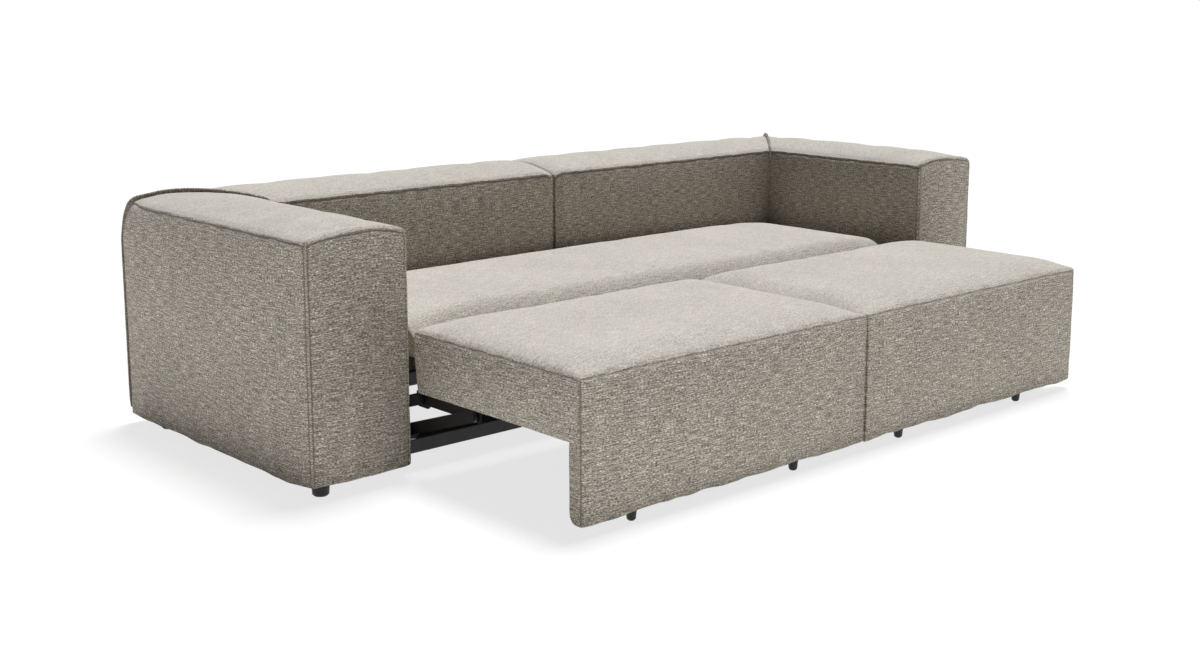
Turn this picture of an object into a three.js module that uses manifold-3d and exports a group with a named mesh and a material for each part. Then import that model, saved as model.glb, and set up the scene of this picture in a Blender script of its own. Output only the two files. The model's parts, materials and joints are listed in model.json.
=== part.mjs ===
// A three-seat sleeper sofa, shown as a bed: its two seat blocks have walked out to the front on
// swinging links, and a padded strip has risen behind them. Millimetres, X across the sofa with +X
// to the sitter's left when facing the front, Y from front to back, Z up. While the pieces are
// drawn, Y is 0 at the front of the arms and X is 0 where the two seat blocks meet.
import * as THREE from "three";
import { mergeVertices } from "three/addons/utils/BufferGeometryUtils.js";
import Module from "manifold-3d";

const wasm = await Module();
wasm.setup();

// Driving dimensions of the whole sofa
const overallWidth = 2648;
const overallDepth = 960; // front of the arms to the rear of the back
const seamHeight = 639; // top seams of arms and backs
const armWidth = 292;
const backDepth = 300;
const bodyFootHeight = 44; // floor to the underside of arms and backs

// Clearances
const touchGap = 0.3; // between pieces that touch
const turnClearance = 0.5; // radial play of a link hole round its bolt
const overrun = 20; // how far a cutter reaches past what it cuts
const modulePlay = 0.8; // between two upholstered modules that meet at a seam

// Upholstery of arms and backs
const foamThickness = 26;
const topFoamThickness = 34;
const bodyCrown = 25; // height of the swollen top above its seams
const armFrontCrownShare = 0.45; // of the crown, at the front seam of an arm
const backSplitCrownShare = 0.7; // of the crown, where the two backs meet
const crownRunOut = 170; // over which the crown grows to its full height
const outerSwell = 9; // swelling of the outer faces
const innerSwell = 5; // swelling of the faces towards the seats
const seamDrawIn = 3; // how far a long seam pulls in at its middle

// Timber carcasses and base boards
const boardThickness = 12;
const timberThickness = 28;
const postSpacing = 225;

// Feet
const bodyFootTopRadius = 24;
const bodyFootBottomRadius = 21;
const footChamfer = 4;
const bodyFootFromFront = 50;
const bodyFootFromSide = 54;
const rearFootFromRear = 118;
const backFootFromSplit = 250;
const backFootFromRear = 62;
const seatFootHeight = 33;
const seatFootTopRadius = 14;
const seatFootBottomRadius = 11;
const seatFootStemRadius = 4;
const seatFootStemLength = 32;
const seatFootHalfSpacing = 285; // from the middle of a seat block's pair
const seatFootShift = -40; // of both pairs along X from their blocks' middles

// Seat blocks: a thick cushion with an apron hanging from its front edge
const seatSideGap = 25; // arm face to seat block
const seatSplitGap = 3; // between the two blocks
const seatFront = 613; // front of the opened blocks, ahead of the arms
const seatRear = 26; // rear of the opened blocks, behind the front of the arms
const seatBackGap = 34; // between the closed blocks and the back
const seatUnderside = 220;
const seatSeamHeight = 376;
const seatCrown = 24;
const seatFrontSwell = 7;
const seatRearSwell = 4;
const seatSideSwell = 4;
const apronThickness = 47;
const apronRearRadius = 30;
const apronFrontRadius = 8;
const seatRearUndercut = 12; // how far the lower rear edge is rounded back

// Steel seat frame
const seatBeamWidth = 40;
const seatBeamHeight = 20;
const tubeWall = 2.5;
const seatWallThickness = 13; // padding outside the seat frame
const middleBeamLead = 27; // middle beam ahead of the front links' upper bolts
const seatRailWeb = 6;
const seatRailFlange = 30;
const seatRailFlangeThickness = 4;
const seatRailDepth = 31;
const seatLugDrop = 8;
const seatLugHalfLength = 26;
const seatRailFrontReach = 20; // rail ahead of its front bolt
const apronBoardInset = 20;
const apronBoardFromBottom = 37;
const apronBoardFromFront = 17;
const seatBoardInset = 15;

// Seat links: two parallel bars on each side
const linkWidth = 31;
const linkThickness = 6;
const linkBoltRadius = 6;
const linkPivotHeight = 103.4; // bolts on the side rails
const seatBoltDrop = 16.2; // upper bolts below the underside of the seats
const frontPivotBack = 85; // front lower bolt, behind the front of the arms
const seatRearBoltInset = 21; // upper rear bolt to the rear of the opened blocks
const boltHeadRadius = 11;
const boltHeadThickness = 2.4;

// Base rails between the arms
const sideRailThickness = 24;
const sideRailBottom = 50;
const sideRailTop = 121;
const sideRailFront = 44;
const sideRailRearGap = 8; // rail end to the back
const frontRailFront = 52;
const frontRailBottom = 48;
const frontRailTop = 83;
const frontRailDepth = 78;
const frontRailWall = 3;
const rearRailWidth = 28;
const gussetThickness = 2;
const gussetLength = 70;
const gussetDepth = 40;
const gussetHeel = 26; // straight part of its front edge
const gussetTip = 42; // straight part of its rear edge
const gussetHoleRadius = 2.5;
const gussetHoleFromEdge = 10;
const railBoltHeadRadius = 8;
const railBoltHeight = 66;
const railBoltShares = [0.2, 0.7, 0.92]; // along the side rail

// Rising strip behind the seat blocks
const stripFront = 48;
const stripBackGap = 31; // rear of the strip to the back
const stripSideGap = 67; // end of the strip to the arm
const stripCushionBottom = 290;
const stripSeamHeight = 390;
const stripCrown = 14;
const stripRollDepth = 80; // how far the rolled front edge reaches back
const stripRollDrop = 94; // how far it falls at the front
const stripRollPower = 1.9;
const stripEndDrop = 22; // how far the ends fall to their seams
const stripBoardInset = 12;
const stripRailWidth = 23;
const stripRailHeight = 26.7;
const stripRailOverhang = 3; // rail beyond the cushion's end
const stripRailReach = 18; // rail past its outer bolts
const battenWidth = 25;
const battenShares = [0.12, 0.9]; // along the strip's side rail

// Strip links
const stripLinkWidth = 28;
const stripLinkThickness = 5;
const stripPivotHeight = 169;
const stripFrontPivotBack = 112;
const stripRearBoltInset = 36; // upper rear bolt to the strip's rear edge
const stripLinkParting = 45; // bolt of one link to the next link's, when both lie level
const stripBoltRadius = 5;
const uprightThickness = 5;
const uprightWidth = 28;
const uprightFootLength = 18;
const uprightFootThickness = 3.5;
const outriggerHeight = 20;

// Places across the sofa, from the arm's face inwards
const linkFromArm = 27; // arm face to the outer face of the seat links
const seatRailFromArm = 36;
const uprightFromArm = 45;
const stripLinkFromArm = 53;

// Finishes
const fabric = { color: 0xa49c90, roughness: 0.95, metalness: 0 };
const timber = { color: 0xc8a878, roughness: 0.8, metalness: 0 };
const blackSteel = { color: 0x2a2a2b, roughness: 0.45, metalness: 0.6 };
const zinc = { color: 0xd8dadc, roughness: 0.3, metalness: 0.9 };
const blackPlastic = { color: 0x151515, roughness: 0.5, metalness: 0 };

// Places worked out from the driving dimensions
const halfWidth = overallWidth / 2;
const armFace = halfWidth - armWidth;
const backFront = overallDepth - backDepth;
const seatTravel = backFront - seatBackGap - seatRear;
const stripRear = backFront - stripBackGap;
const stripHalfWidth = armFace - stripSideGap;
const seatPivotHeight = seatUnderside - seatBoltDrop;
const linkRise = seatPivotHeight - linkPivotHeight;
const linkLength = Math.hypot(seatTravel / 2, linkRise);
const linkRestAngle = Math.atan2(linkRise, seatTravel / 2); // above level, at both ends of the travel
const seatBlockOuter = armFace - seatSideGap;
const seatBlockInner = seatSplitGap / 2;
const seatBlockMiddle = (seatBlockOuter + seatBlockInner) / 2;
const apronRear = -seatFront + apronThickness;
const rearPivotBack = seatRear - seatRearBoltInset + seatTravel / 2;
const seatFrameTop = seatUnderside + seatBeamHeight;
const seatPocketTop = seatFrameTop + boardThickness + 2 * touchGap;
const seatFrameOuter = seatBlockOuter - seatWallThickness;
const stripBoardTop = stripCushionBottom - touchGap;
const stripBoardBottom = stripBoardTop - boardThickness;
const stripRailTop = stripBoardBottom - touchGap;
const stripLift = stripRailTop - stripRailHeight / 2 - stripPivotHeight; // half of the strip's travel
const stripLinksRun = stripRear - stripRearBoltInset - stripFrontPivotBack - stripLinkParting;
const stripLinkLength = (stripLinksRun ** 2 + stripLift ** 2) / (2 * stripLinksRun);
const stripReach = stripLinksRun - stripLinkLength; // of a link along Y, at both ends of its travel
const stripLinkAngle = Math.atan2(stripLift, stripReach);
const stripLinkSpacing = stripLinkLength + stripLinkParting;
const sides = { left: -1, right: 1 };
const roundSides = 20;
const smallSides = 14;

// Solids: small helpers round three.js geometry
function solidOf(geometry) {
  const bare = geometry.clone();
  for (const name of ["normal", "uv"]) bare.deleteAttribute(name);
  const merged = mergeVertices(bare);
  const triVerts = Uint32Array.from(merged.index.array);
  const vertProperties = Float32Array.from(merged.attributes.position.array);
  return new wasm.Manifold(new wasm.Mesh({ numProp: 3, vertProperties, triVerts }));
}

function geometryOf(solid) {
  const { vertProperties, triVerts, numProp } = solid.getMesh();
  const positions = new Float32Array((vertProperties.length / numProp) * 3);
  for (let i = 0; i < positions.length / 3; i++) {
    for (let axis = 0; axis < 3; axis++) positions[3 * i + axis] = vertProperties[numProp * i + axis];
  }
  const geometry = new THREE.BufferGeometry();
  geometry.setAttribute("position", new THREE.BufferAttribute(positions, 3));
  geometry.setIndex(Array.from(triVerts));
  return geometry;
}

function joined(solids) {
  return solids.reduce((sum, solid) => sum.add(solid));
}

function cutBy(solid, cutters) {
  return cutters.reduce((rest, cutter) => rest.subtract(cutter), solid);
}

// A box between two corners, in any order
function box(x0, x1, y0, y1, z0, z1) {
  const geometry = new THREE.BoxGeometry(Math.abs(x1 - x0), Math.abs(y1 - y0), Math.abs(z1 - z0));
  geometry.translate((x0 + x1) / 2, (y0 + y1) / 2, (z0 + z1) / 2);
  return solidOf(geometry);
}

// An outline drawn in plan, standing between two heights
function planPrism(points, z0, z1) {
  const shape = new THREE.Shape(points.map(([x, y]) => new THREE.Vector2(x, y)));
  const geometry = new THREE.ExtrudeGeometry(shape, { depth: z1 - z0, bevelEnabled: false });
  geometry.translate(0, 0, z0);
  return solidOf(geometry);
}

// An outline drawn in Y and Z, reaching from one X to another
function sidePrism(shape, x0, x1) {
  const depth = Math.abs(x1 - x0);
  const geometry = new THREE.ExtrudeGeometry(shape, { depth, bevelEnabled: false });
  const turn = new THREE.Matrix4().makeBasis(
    new THREE.Vector3(0, 1, 0), new THREE.Vector3(0, 0, 1), new THREE.Vector3(1, 0, 0));
  geometry.applyMatrix4(turn);
  geometry.translate(Math.min(x0, x1), 0, 0);
  return solidOf(geometry);
}

// A round bar along X
function barX(y, z, radius, x0, x1, faces = smallSides) {
  const geometry = new THREE.CylinderGeometry(radius, radius, Math.abs(x1 - x0), faces);
  geometry.rotateZ(Math.PI / 2);
  geometry.translate((x0 + x1) / 2, y, z);
  return solidOf(geometry);
}

// A round bar along Z
function barZ(x, y, radius, z0, z1, faces = smallSides) {
  const geometry = new THREE.CylinderGeometry(radius, radius, z1 - z0, faces);
  geometry.rotateX(Math.PI / 2);
  geometry.translate(x, y, (z0 + z1) / 2);
  return solidOf(geometry);
}

// A rectangular tube along X or Y, open at both ends
function tube(x0, x1, y0, y1, z0, z1, wall, along) {
  const outside = box(x0, x1, y0, y1, z0, z1);
  const [left, right] = [Math.min(x0, x1), Math.max(x0, x1)];
  const bore = along === "x"
    ? box(left - overrun, right + overrun, y0 + wall, y1 - wall, z0 + wall, z1 - wall)
    : box(left + wall, right - wall, y0 - overrun, y1 + overrun, z0 + wall, z1 - wall);
  return outside.subtract(bore);
}

// Moves each edge of a convex outline inwards by a distance
function inset(points, distance) {
  const area = points.reduce((sum, [x, y], i) => {
    const [nextX, nextY] = points[(i + 1) % points.length];
    return sum + x * nextY - nextX * y;
  }, 0);
  const turn = Math.sign(area);
  const edges = points.map(([x, y], i) => {
    const [nextX, nextY] = points[(i + 1) % points.length];
    const length = Math.hypot(nextX - x, nextY - y);
    const [dx, dy] = [(nextX - x) / length, (nextY - y) / length];
    return { x: x - dy * distance * turn, y: y + dx * distance * turn, dx, dy };
  });
  return edges.map((edge, i) => {
    const last = edges[(i + edges.length - 1) % edges.length];
    const cross = last.dx * edge.dy - last.dy * edge.dx;
    const reach = ((edge.x - last.x) * edge.dy - (edge.y - last.y) * edge.dx) / cross;
    return [last.x + last.dx * reach, last.y + last.dy * reach];
  });
}

// Places from -1 to 1, closer together towards both ends
function stations(count) {
  return Array.from({ length: count + 1 }, (_, i) => Math.sin((i / count - 0.5) * Math.PI));
}

// A closed block whose six faces are grids; place(a, b, c) bends it, with a, b and c from -1 to 1
function gridBlock(across, along, up, place) {
  const grid = [across, along, up];
  const positions = [];
  const indexOf = new Map();
  const corner = (cell) => {
    const key = cell.join();
    if (!indexOf.has(key)) {
      indexOf.set(key, positions.length / 3);
      positions.push(...place(...cell.map((step, axis) => grid[axis][step])));
    }
    return indexOf.get(key);
  };
  const index = [];
  for (let axis = 0; axis < 3; axis++) {
    const [u, v] = [(axis + 1) % 3, (axis + 2) % 3];
    for (const end of [0, grid[axis].length - 1]) {
      for (let i = 0; i + 1 < grid[u].length; i++) {
        for (let j = 0; j + 1 < grid[v].length; j++) {
          const quad = [[i, j], [i + 1, j], [i + 1, j + 1], [i, j + 1]].map(([s, t]) => {
            const cell = [0, 0, 0];
            cell[axis] = end;
            cell[u] = s;
            cell[v] = t;
            return corner(cell);
          });
          if (end === 0) quad.reverse();
          index.push(quad[0], quad[1], quad[2], quad[0], quad[2], quad[3]);
        }
      }
    }
  }
  if (signedVolume(positions, index) < 0) index.reverse();
  const geometry = new THREE.BufferGeometry();
  geometry.setAttribute("position", new THREE.Float32BufferAttribute(positions, 3));
  geometry.setIndex(index);
  return solidOf(geometry);
}

function signedVolume(positions, index) {
  const [p, q, r] = [new THREE.Vector3(), new THREE.Vector3(), new THREE.Vector3()];
  let volume = 0;
  for (let i = 0; i < index.length; i += 3) {
    p.fromArray(positions, 3 * index[i]);
    q.fromArray(positions, 3 * index[i + 1]);
    r.fromArray(positions, 3 * index[i + 2]);
    volume += p.dot(q.cross(r)) / 6;
  }
  return volume;
}

function mix(from, to, share) {
  return from + (to - from) * share;
}

function smooth(share) {
  const s = Math.min(Math.max(share, 0), 1);
  return s * s * (3 - 2 * s);
}

// How a face stands out: swollen in its middle, drawn in at the middle of its long seams
function faceSwell(along, up, swell) {
  return (1 - along * along) * (swell * (1 - up * up) - seamDrawIn * up * up);
}

// A point of a four-cornered plan, with corners in the order (-1,-1), (1,-1), (1,1), (-1,1)
function planPoint(plan, a, b) {
  const [s, t] = [(a + 1) / 2, (b + 1) / 2];
  return [0, 1].map((axis) => mix(
    mix(plan[0][axis], plan[1][axis], s), mix(plan[3][axis], plan[2][axis], s), t));
}

function mesh(name, solid, finish) {
  const piece = new THREE.Mesh(geometryOf(solid), new THREE.MeshStandardMaterial(finish));
  piece.name = name;
  return piece;
}

// Arms and backs: plans that meet at mitres from the inner to the outer corners
function armPlan(side) {
  const play = modulePlay / 2;
  const slope = armWidth / backDepth;
  return [
    [side * armFace, 0], [side * halfWidth, 0],
    [side * halfWidth, overallDepth - play], [side * armFace, backFront - play / slope]];
}

function backPlan(side) {
  const play = modulePlay / 2;
  const slope = armWidth / backDepth;
  return [
    [side * (armFace - play), backFront], [side * play, backFront],
    [side * play, overallDepth], [side * (halfWidth - play * slope - play), overallDepth]];
}

// The padded cover of an arm, open below over its timber carcass
function armCover(side) {
  const plan = armPlan(side);
  const length = overallDepth;
  const place = (a, b, c) => {
    const [x, y] = planPoint(plan, a, b);
    const fromFront = ((b + 1) / 2) * length;
    const grown = mix(armFrontCrownShare, 1, smooth(fromFront / crownRunOut));
    const crown = bodyCrown * (1 - a * a) * grown * ((c + 1) / 2);
    const sideways = Math.abs(a) * faceSwell(b, c, a > 0 ? outerSwell : innerSwell);
    const forwards = b < 0 ? -b * faceSwell(a, c, outerSwell) : 0;
    return [
      x + side * Math.sign(a) * sideways, y - forwards,
      mix(bodyFootHeight, seamHeight, (c + 1) / 2) + crown];
  };
  const outside = gridBlock(stations(8), stations(12), stations(6), place);
  const cavity = planPrism(
    inset(plan, foamThickness), bodyFootHeight - overrun, seamHeight - topFoamThickness);
  return outside.subtract(cavity);
}

// The padded cover of one half of the back
function backCover(side) {
  const plan = backPlan(side);
  const length = halfWidth;
  const place = (a, b, c) => {
    const [x, y] = planPoint(plan, a, b);
    const fromSplit = ((1 - a) / 2) * length;
    const grown = mix(backSplitCrownShare, 1, smooth(fromSplit / crownRunOut));
    const crown = bodyCrown * (1 - b * b) * grown * ((c + 1) / 2);
    const swell = Math.abs(b) * faceSwell(a, c, b > 0 ? outerSwell : innerSwell);
    return [
      x, y + Math.sign(b) * swell, mix(bodyFootHeight, seamHeight, (c + 1) / 2) + crown];
  };
  const outside = gridBlock(stations(12), stations(8), stations(6), place);
  const cavity = planPrism(
    inset(plan, foamThickness), bodyFootHeight - overrun, seamHeight - topFoamThickness);
  return outside.subtract(cavity);
}

function baseBoard(plan) {
  return planPrism(
    inset(plan, foamThickness + touchGap), bodyFootHeight, bodyFootHeight + boardThickness);
}

// A timber carcass: rails round the plan at three heights, posts at even steps and cross rails
function carcass(plan, lengthAxis) {
  const bottom = bodyFootHeight + boardThickness + touchGap;
  const top = seamHeight - topFoamThickness - touchGap;
  const outline = inset(plan, foamThickness + touchGap);
  const whole = planPrism(outline, bottom, top);
  const core = planPrism(inset(outline, timberThickness), bottom - overrun, top + overrun);
  const wall = whole.subtract(core);
  const low = outline.map((point) => point[lengthAxis]);
  const [start, end] = [Math.min(...low), Math.max(...low)];
  const count = Math.ceil((end - start) / postSpacing);
  const reach = overallWidth;
  const slabs = [];
  for (let i = 0; i <= count; i++) {
    const from = start + ((end - start - timberThickness) * i) / count;
    const to = from + timberThickness;
    slabs.push(lengthAxis === 0
      ? box(from, to, -reach, reach, bottom, top) : box(-reach, reach, from, to, bottom, top));
  }
  const layer = (from) => box(-reach, reach, -reach, reach, from, from + timberThickness);
  const ends = layer(bottom).add(layer(top - timberThickness));
  const middle = layer((bottom + top - timberThickness) / 2);
  const posts = joined(slabs);
  return joined([
    wall.intersect(joined([ends, middle, posts])), whole.intersect(posts.intersect(ends))]);
}

// A round foot with a chamfered lower edge
function foot(topRadius, bottomRadius, height) {
  const profile = [
    [0, 0], [bottomRadius - footChamfer, 0], [bottomRadius, footChamfer], [topRadius, height],
    [0, height]];
  const geometry = new THREE.LatheGeometry(
    profile.map(([radius, z]) => new THREE.Vector2(radius, z)), roundSides);
  geometry.rotateX(Math.PI / 2);
  return solidOf(geometry);
}

function bodyFoot(name, x, y) {
  const height = bodyFootHeight - touchGap;
  const piece = mesh(name, foot(bodyFootTopRadius, bodyFootBottomRadius, height), blackPlastic);
  piece.position.set(x, y, 0);
  return piece;
}

// A bolt along X, rooted in the plate that carries it, with its head beyond the link
function pivotBolt(y, z, radius, root, to, headEnd) {
  return barX(y, z, radius, root, to).add(barX(y, z, boltHeadRadius, to, headEnd, roundSides));
}

// Steel base between the arms. Each side rail carries the lower bolts of its seat links.
function sideRail(side) {
  const outer = armFace - innerSwell / 2 - touchGap;
  const inner = armFace - sideRailThickness;
  const rear = backFront - sideRailRearGap;
  const rail = tube(
    side * outer, side * inner, sideRailFront, rear, sideRailBottom, sideRailTop, tubeWall, "y");
  const root = side * (inner + tubeWall / 2);
  const beyondLink = armFace - linkFromArm - linkThickness - touchGap;
  const pivots = [frontPivotBack, rearPivotBack].map((y) => pivotBolt(
    y, linkPivotHeight, linkBoltRadius, root, side * beyondLink,
    side * (beyondLink - boltHeadThickness)));
  const fixings = railBoltShares.map((share) => barX(
    mix(sideRailFront, rear, share), railBoltHeight, railBoltHeadRadius, root,
    side * (inner - boltHeadThickness)));
  return joined([rail, ...pivots, ...fixings]);
}

function frontRail() {
  const reach = armFace - sideRailThickness - touchGap;
  const web = box(-reach, reach, frontRailFront, frontRailFront + frontRailWall,
    frontRailBottom, frontRailTop);
  const flange = box(-reach, reach, frontRailFront, frontRailFront + frontRailDepth,
    frontRailTop - frontRailWall, frontRailTop);
  return web.add(flange);
}

function rearRail() {
  const reach = armFace - sideRailThickness - touchGap;
  const rear = backFront - touchGap;
  return tube(-reach, reach, rear - rearRailWidth, rear, frontRailBottom, frontRailTop,
    tubeWall, "x");
}

// A bright plate with two holes, lying across the corner of the front rail and the side rail
function gusset(side) {
  const outer = armFace - sideRailThickness - touchGap;
  const tip = outer - gussetLength;
  const front = frontRailFront + frontRailWall;
  const rear = front + gussetDepth;
  const outline = [
    [outer, front], [outer - gussetHeel, front], [tip, rear], [tip + gussetTip, rear],
    [outer, rear - gussetHoleFromEdge]].map(([x, y]) => [side * x, y]);
  const bottom = frontRailTop + touchGap;
  const places = [
    [outer - gussetHeel + gussetHoleFromEdge / 2, front + gussetHoleFromEdge],
    [tip + gussetTip / 2, rear - gussetHoleFromEdge]];
  const holes = places.map(([x, y]) => barZ(
    side * x, y, gussetHoleRadius, bottom - overrun, bottom + overrun));
  return cutBy(planPrism(outline, bottom, bottom + gussetThickness), holes);
}

// Brackets that carry the strip's links, each with its link's lower bolt
function stripBaseBolt(side, y) {
  const root = side * (uprightOuter() - uprightThickness / 2);
  const beyondLink = armFace - stripLinkFromArm - stripLinkThickness - touchGap;
  return pivotBolt(y, stripPivotHeight, stripBoltRadius, root, side * beyondLink,
    side * (beyondLink - boltHeadThickness));
}

function uprightOuter() {
  return armFace - uprightFromArm;
}

function uprightPlate(side, y, bottom) {
  const top = stripPivotHeight + uprightWidth / 2;
  return box(side * uprightOuter(), side * (uprightOuter() - uprightThickness),
    y - uprightWidth / 2, y + uprightWidth / 2, bottom, top);
}

// The front upright stands on the front rail
function frontUpright(side) {
  const y = stripFrontPivotBack;
  const bottom = frontRailTop + touchGap;
  const sole = box(side * uprightOuter(), side * (uprightOuter() - uprightFootLength),
    y - uprightWidth / 2, y + uprightWidth / 2, bottom, bottom + uprightFootThickness);
  return joined([uprightPlate(side, y, bottom), sole, stripBaseBolt(side, y)]);
}

// The rear upright reaches in from the side rail, below the seat links
function rearUpright(side) {
  const y = stripFrontPivotBack + stripLinkSpacing;
  const reach = box(
    side * (uprightOuter() - uprightThickness), side * (armFace - sideRailThickness - touchGap),
    y - uprightWidth / 2, y + uprightWidth / 2, sideRailBottom,
    sideRailBottom + outriggerHeight);
  return joined([uprightPlate(side, y, sideRailBottom), reach, stripBaseBolt(side, y)]);
}

// A flat bar with round ends and a bolt hole at each end, from its first bolt at the origin
function linkBar(length, width, thickness, boltRadius) {
  const radius = width / 2;
  const shape = new THREE.Shape();
  shape.absarc(0, 0, radius, Math.PI / 2, (3 * Math.PI) / 2, false);
  shape.absarc(length, 0, radius, -Math.PI / 2, Math.PI / 2, false);
  for (const centre of [0, length]) {
    const hole = new THREE.Path();
    hole.absarc(centre, 0, boltRadius + turnClearance, 0, 2 * Math.PI, true);
    shape.holes.push(hole);
  }
  const settings = { depth: thickness, bevelEnabled: false, curveSegments: roundSides / 2 };
  const geometry = new THREE.ExtrudeGeometry(shape, settings);
  const turn = new THREE.Matrix4().makeBasis(
    new THREE.Vector3(0, 1, 0), new THREE.Vector3(0, 0, 1), new THREE.Vector3(1, 0, 0));
  geometry.applyMatrix4(turn);
  geometry.translate(-thickness / 2, 0, 0);
  return solidOf(geometry);
}

// A seat link, from its lower bolt forwards and up to the seat rail
function seatLink(name, side, pivotBack) {
  const bar = linkBar(linkLength, linkWidth, linkThickness, linkBoltRadius);
  const piece = mesh(name, bar, blackSteel);
  piece.position.set(
    side * (armFace - linkFromArm - linkThickness / 2), pivotBack, linkPivotHeight);
  piece.rotation.x = Math.PI - linkRestAngle;
  return piece;
}

// A strip link, from its upright backwards and up to the strip's rail
function stripLink(name, side, pivotBack) {
  const bar = linkBar(stripLinkLength, stripLinkWidth, stripLinkThickness, stripBoltRadius);
  const piece = mesh(name, bar, blackSteel);
  piece.position.set(
    side * (armFace - stripLinkFromArm - stripLinkThickness / 2), pivotBack, stripPivotHeight);
  piece.rotation.x = stripLinkAngle;
  return piece;
}

// Seat blocks. Cushion and apron share one front face, swollen over its whole height.
function seatX(side, a) {
  return side * mix(seatBlockInner, seatBlockOuter, (a + 1) / 2);
}

function seatFrontFace(a, z) {
  const middle = (seatFootHeight + seatSeamHeight) / 2;
  const up = (z - middle) / (seatSeamHeight - middle);
  return -seatFront - faceSwell(a, up, seatFrontSwell);
}

function seatCushion(side) {
  const place = (a, b, c) => {
    const z = mix(seatUnderside, seatSeamHeight, (c + 1) / 2);
    const crown = seatCrown * (1 - a ** 4) * (1 - b ** 4) * ((c + 1) / 2);
    const undercut = c < 0 ? seatRearUndercut * c * c : 0;
    const rear = seatRear - undercut + faceSwell(a, Math.max(c, 0), seatRearSwell);
    const sideways = a > 0 ? a * faceSwell(b, c, seatSideSwell) : 0;
    const x = seatX(side, a) + side * sideways;
    return [x, mix(seatFrontFace(a, z), rear, (b + 1) / 2), z + crown];
  };
  const outside = gridBlock(stations(10), stations(10), stations(6), place);
  const pocket = box(
    side * (seatBlockInner - overrun), side * (seatFrameOuter + touchGap),
    -seatFront + seatWallThickness - touchGap, seatRear - seatRearUndercut - touchGap,
    seatUnderside - overrun, seatPocketTop);
  return outside.subtract(pocket);
}

function seatApron(side) {
  const top = seatUnderside - touchGap;
  const place = (a, b, c) => {
    const z = mix(seatFootHeight, top, (c + 1) / 2);
    const up = z - seatFootHeight;
    const front = seatFrontFace(a, z) + arcBack(up, apronFrontRadius);
    const rear = apronRear - arcBack(up, apronRearRadius);
    return [seatX(side, a), mix(front, rear, (b + 1) / 2), z];
  };
  const rise = top - seatFootHeight;
  const heights = [0, 0.02, 0.06, 0.13, 0.24, 0.45, 0.6, 0.75, 0.88, 1];
  const upStations = heights.map((share) => 2 * share - 1);
  const outside = gridBlock(stations(10), [-1, 0, 1], upStations, place);
  const boardTop = seatFootHeight + rise + overrun;
  const slot = apronBoardBox(side, touchGap, boardTop);
  const stems = seatFootPlaces(side).map((x) => barZ(
    x, seatFootBack(), seatFootStemRadius + touchGap, seatFootHeight - overrun,
    seatFootHeight + apronBoardFromBottom));
  return cutBy(outside, [slot, ...stems]);
}

// How far a rounded lower edge stands back at a height above the bottom
function arcBack(up, radius) {
  return up < radius ? radius - Math.sqrt(radius ** 2 - (radius - up) ** 2) : 0;
}

function apronBoardBox(side, play, top) {
  const front = -seatFront + apronBoardFromFront;
  return box(
    side * (seatBlockInner + apronBoardInset - play),
    side * (seatBlockOuter - apronBoardInset + play), front - play,
    front + boardThickness + play, seatFootHeight + apronBoardFromBottom - play, top);
}

function seatFootPlaces(side) {
  return [-1, 1].map((end) => side * seatBlockMiddle + seatFootShift + end * seatFootHalfSpacing);
}

function seatFootBack() {
  return -seatFront + apronBoardFromFront + boardThickness / 2;
}

function seatFoot(name, x) {
  const height = seatFootHeight - touchGap;
  const stub = foot(seatFootTopRadius, seatFootBottomRadius, height);
  const stem = barZ(0, 0, seatFootStemRadius, height / 2, height + seatFootStemLength);
  const piece = mesh(name, stub.add(stem), blackPlastic);
  piece.position.set(x, seatFootBack(), 0);
  return piece;
}

function seatBeam(centre) {
  return tube(-seatFrameOuter, seatFrameOuter, centre - seatBeamWidth / 2,
    centre + seatBeamWidth / 2, seatUnderside, seatFrameTop, tubeWall, "x");
}

function seatBoard(side) {
  const bottom = seatFrameTop + touchGap;
  return box(
    side * (seatBlockInner + seatBoardInset), side * (seatFrameOuter - touchGap),
    -seatFront + seatWallThickness, seatRear - seatRearUndercut - 2 * touchGap,
    bottom, bottom + boardThickness);
}

// The angle below the seat frame with the links' upper bolts, and a deeper lug at the rear one
function seatRail(side) {
  const top = seatUnderside - touchGap;
  const bottom = top - seatRailDepth;
  const outer = armFace - seatRailFromArm;
  const frontBolt = frontPivotBack - seatTravel / 2;
  const rearBolt = rearPivotBack - seatTravel / 2;
  const rear = Math.min(rearBolt + seatLugHalfLength, seatRear);
  const shape = new THREE.Shape([
    [frontBolt - seatRailFrontReach, top], [frontBolt - seatRailFrontReach, bottom],
    [rearBolt - seatLugHalfLength - seatLugDrop, bottom],
    [rearBolt - seatLugHalfLength, bottom - seatLugDrop],
    [rear - seatLugDrop, bottom - seatLugDrop], [rear, bottom], [rear, top],
  ].map(([y, z]) => new THREE.Vector2(y, z)));
  const web = sidePrism(shape, side * outer, side * (outer - seatRailWeb));
  const flange = box(
    side * outer, side * (outer - seatRailFlange), frontBolt - seatRailFrontReach, rear,
    top - seatRailFlangeThickness, top);
  const root = side * (outer - seatRailWeb / 2);
  const beyondLink = armFace - linkFromArm + touchGap;
  const bolts = [frontBolt, rearBolt].map((y) => pivotBolt(
    y, seatPivotHeight, linkBoltRadius, root, side * beyondLink,
    side * (beyondLink + boltHeadThickness)));
  return joined([web, flange, ...bolts]);
}

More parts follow.
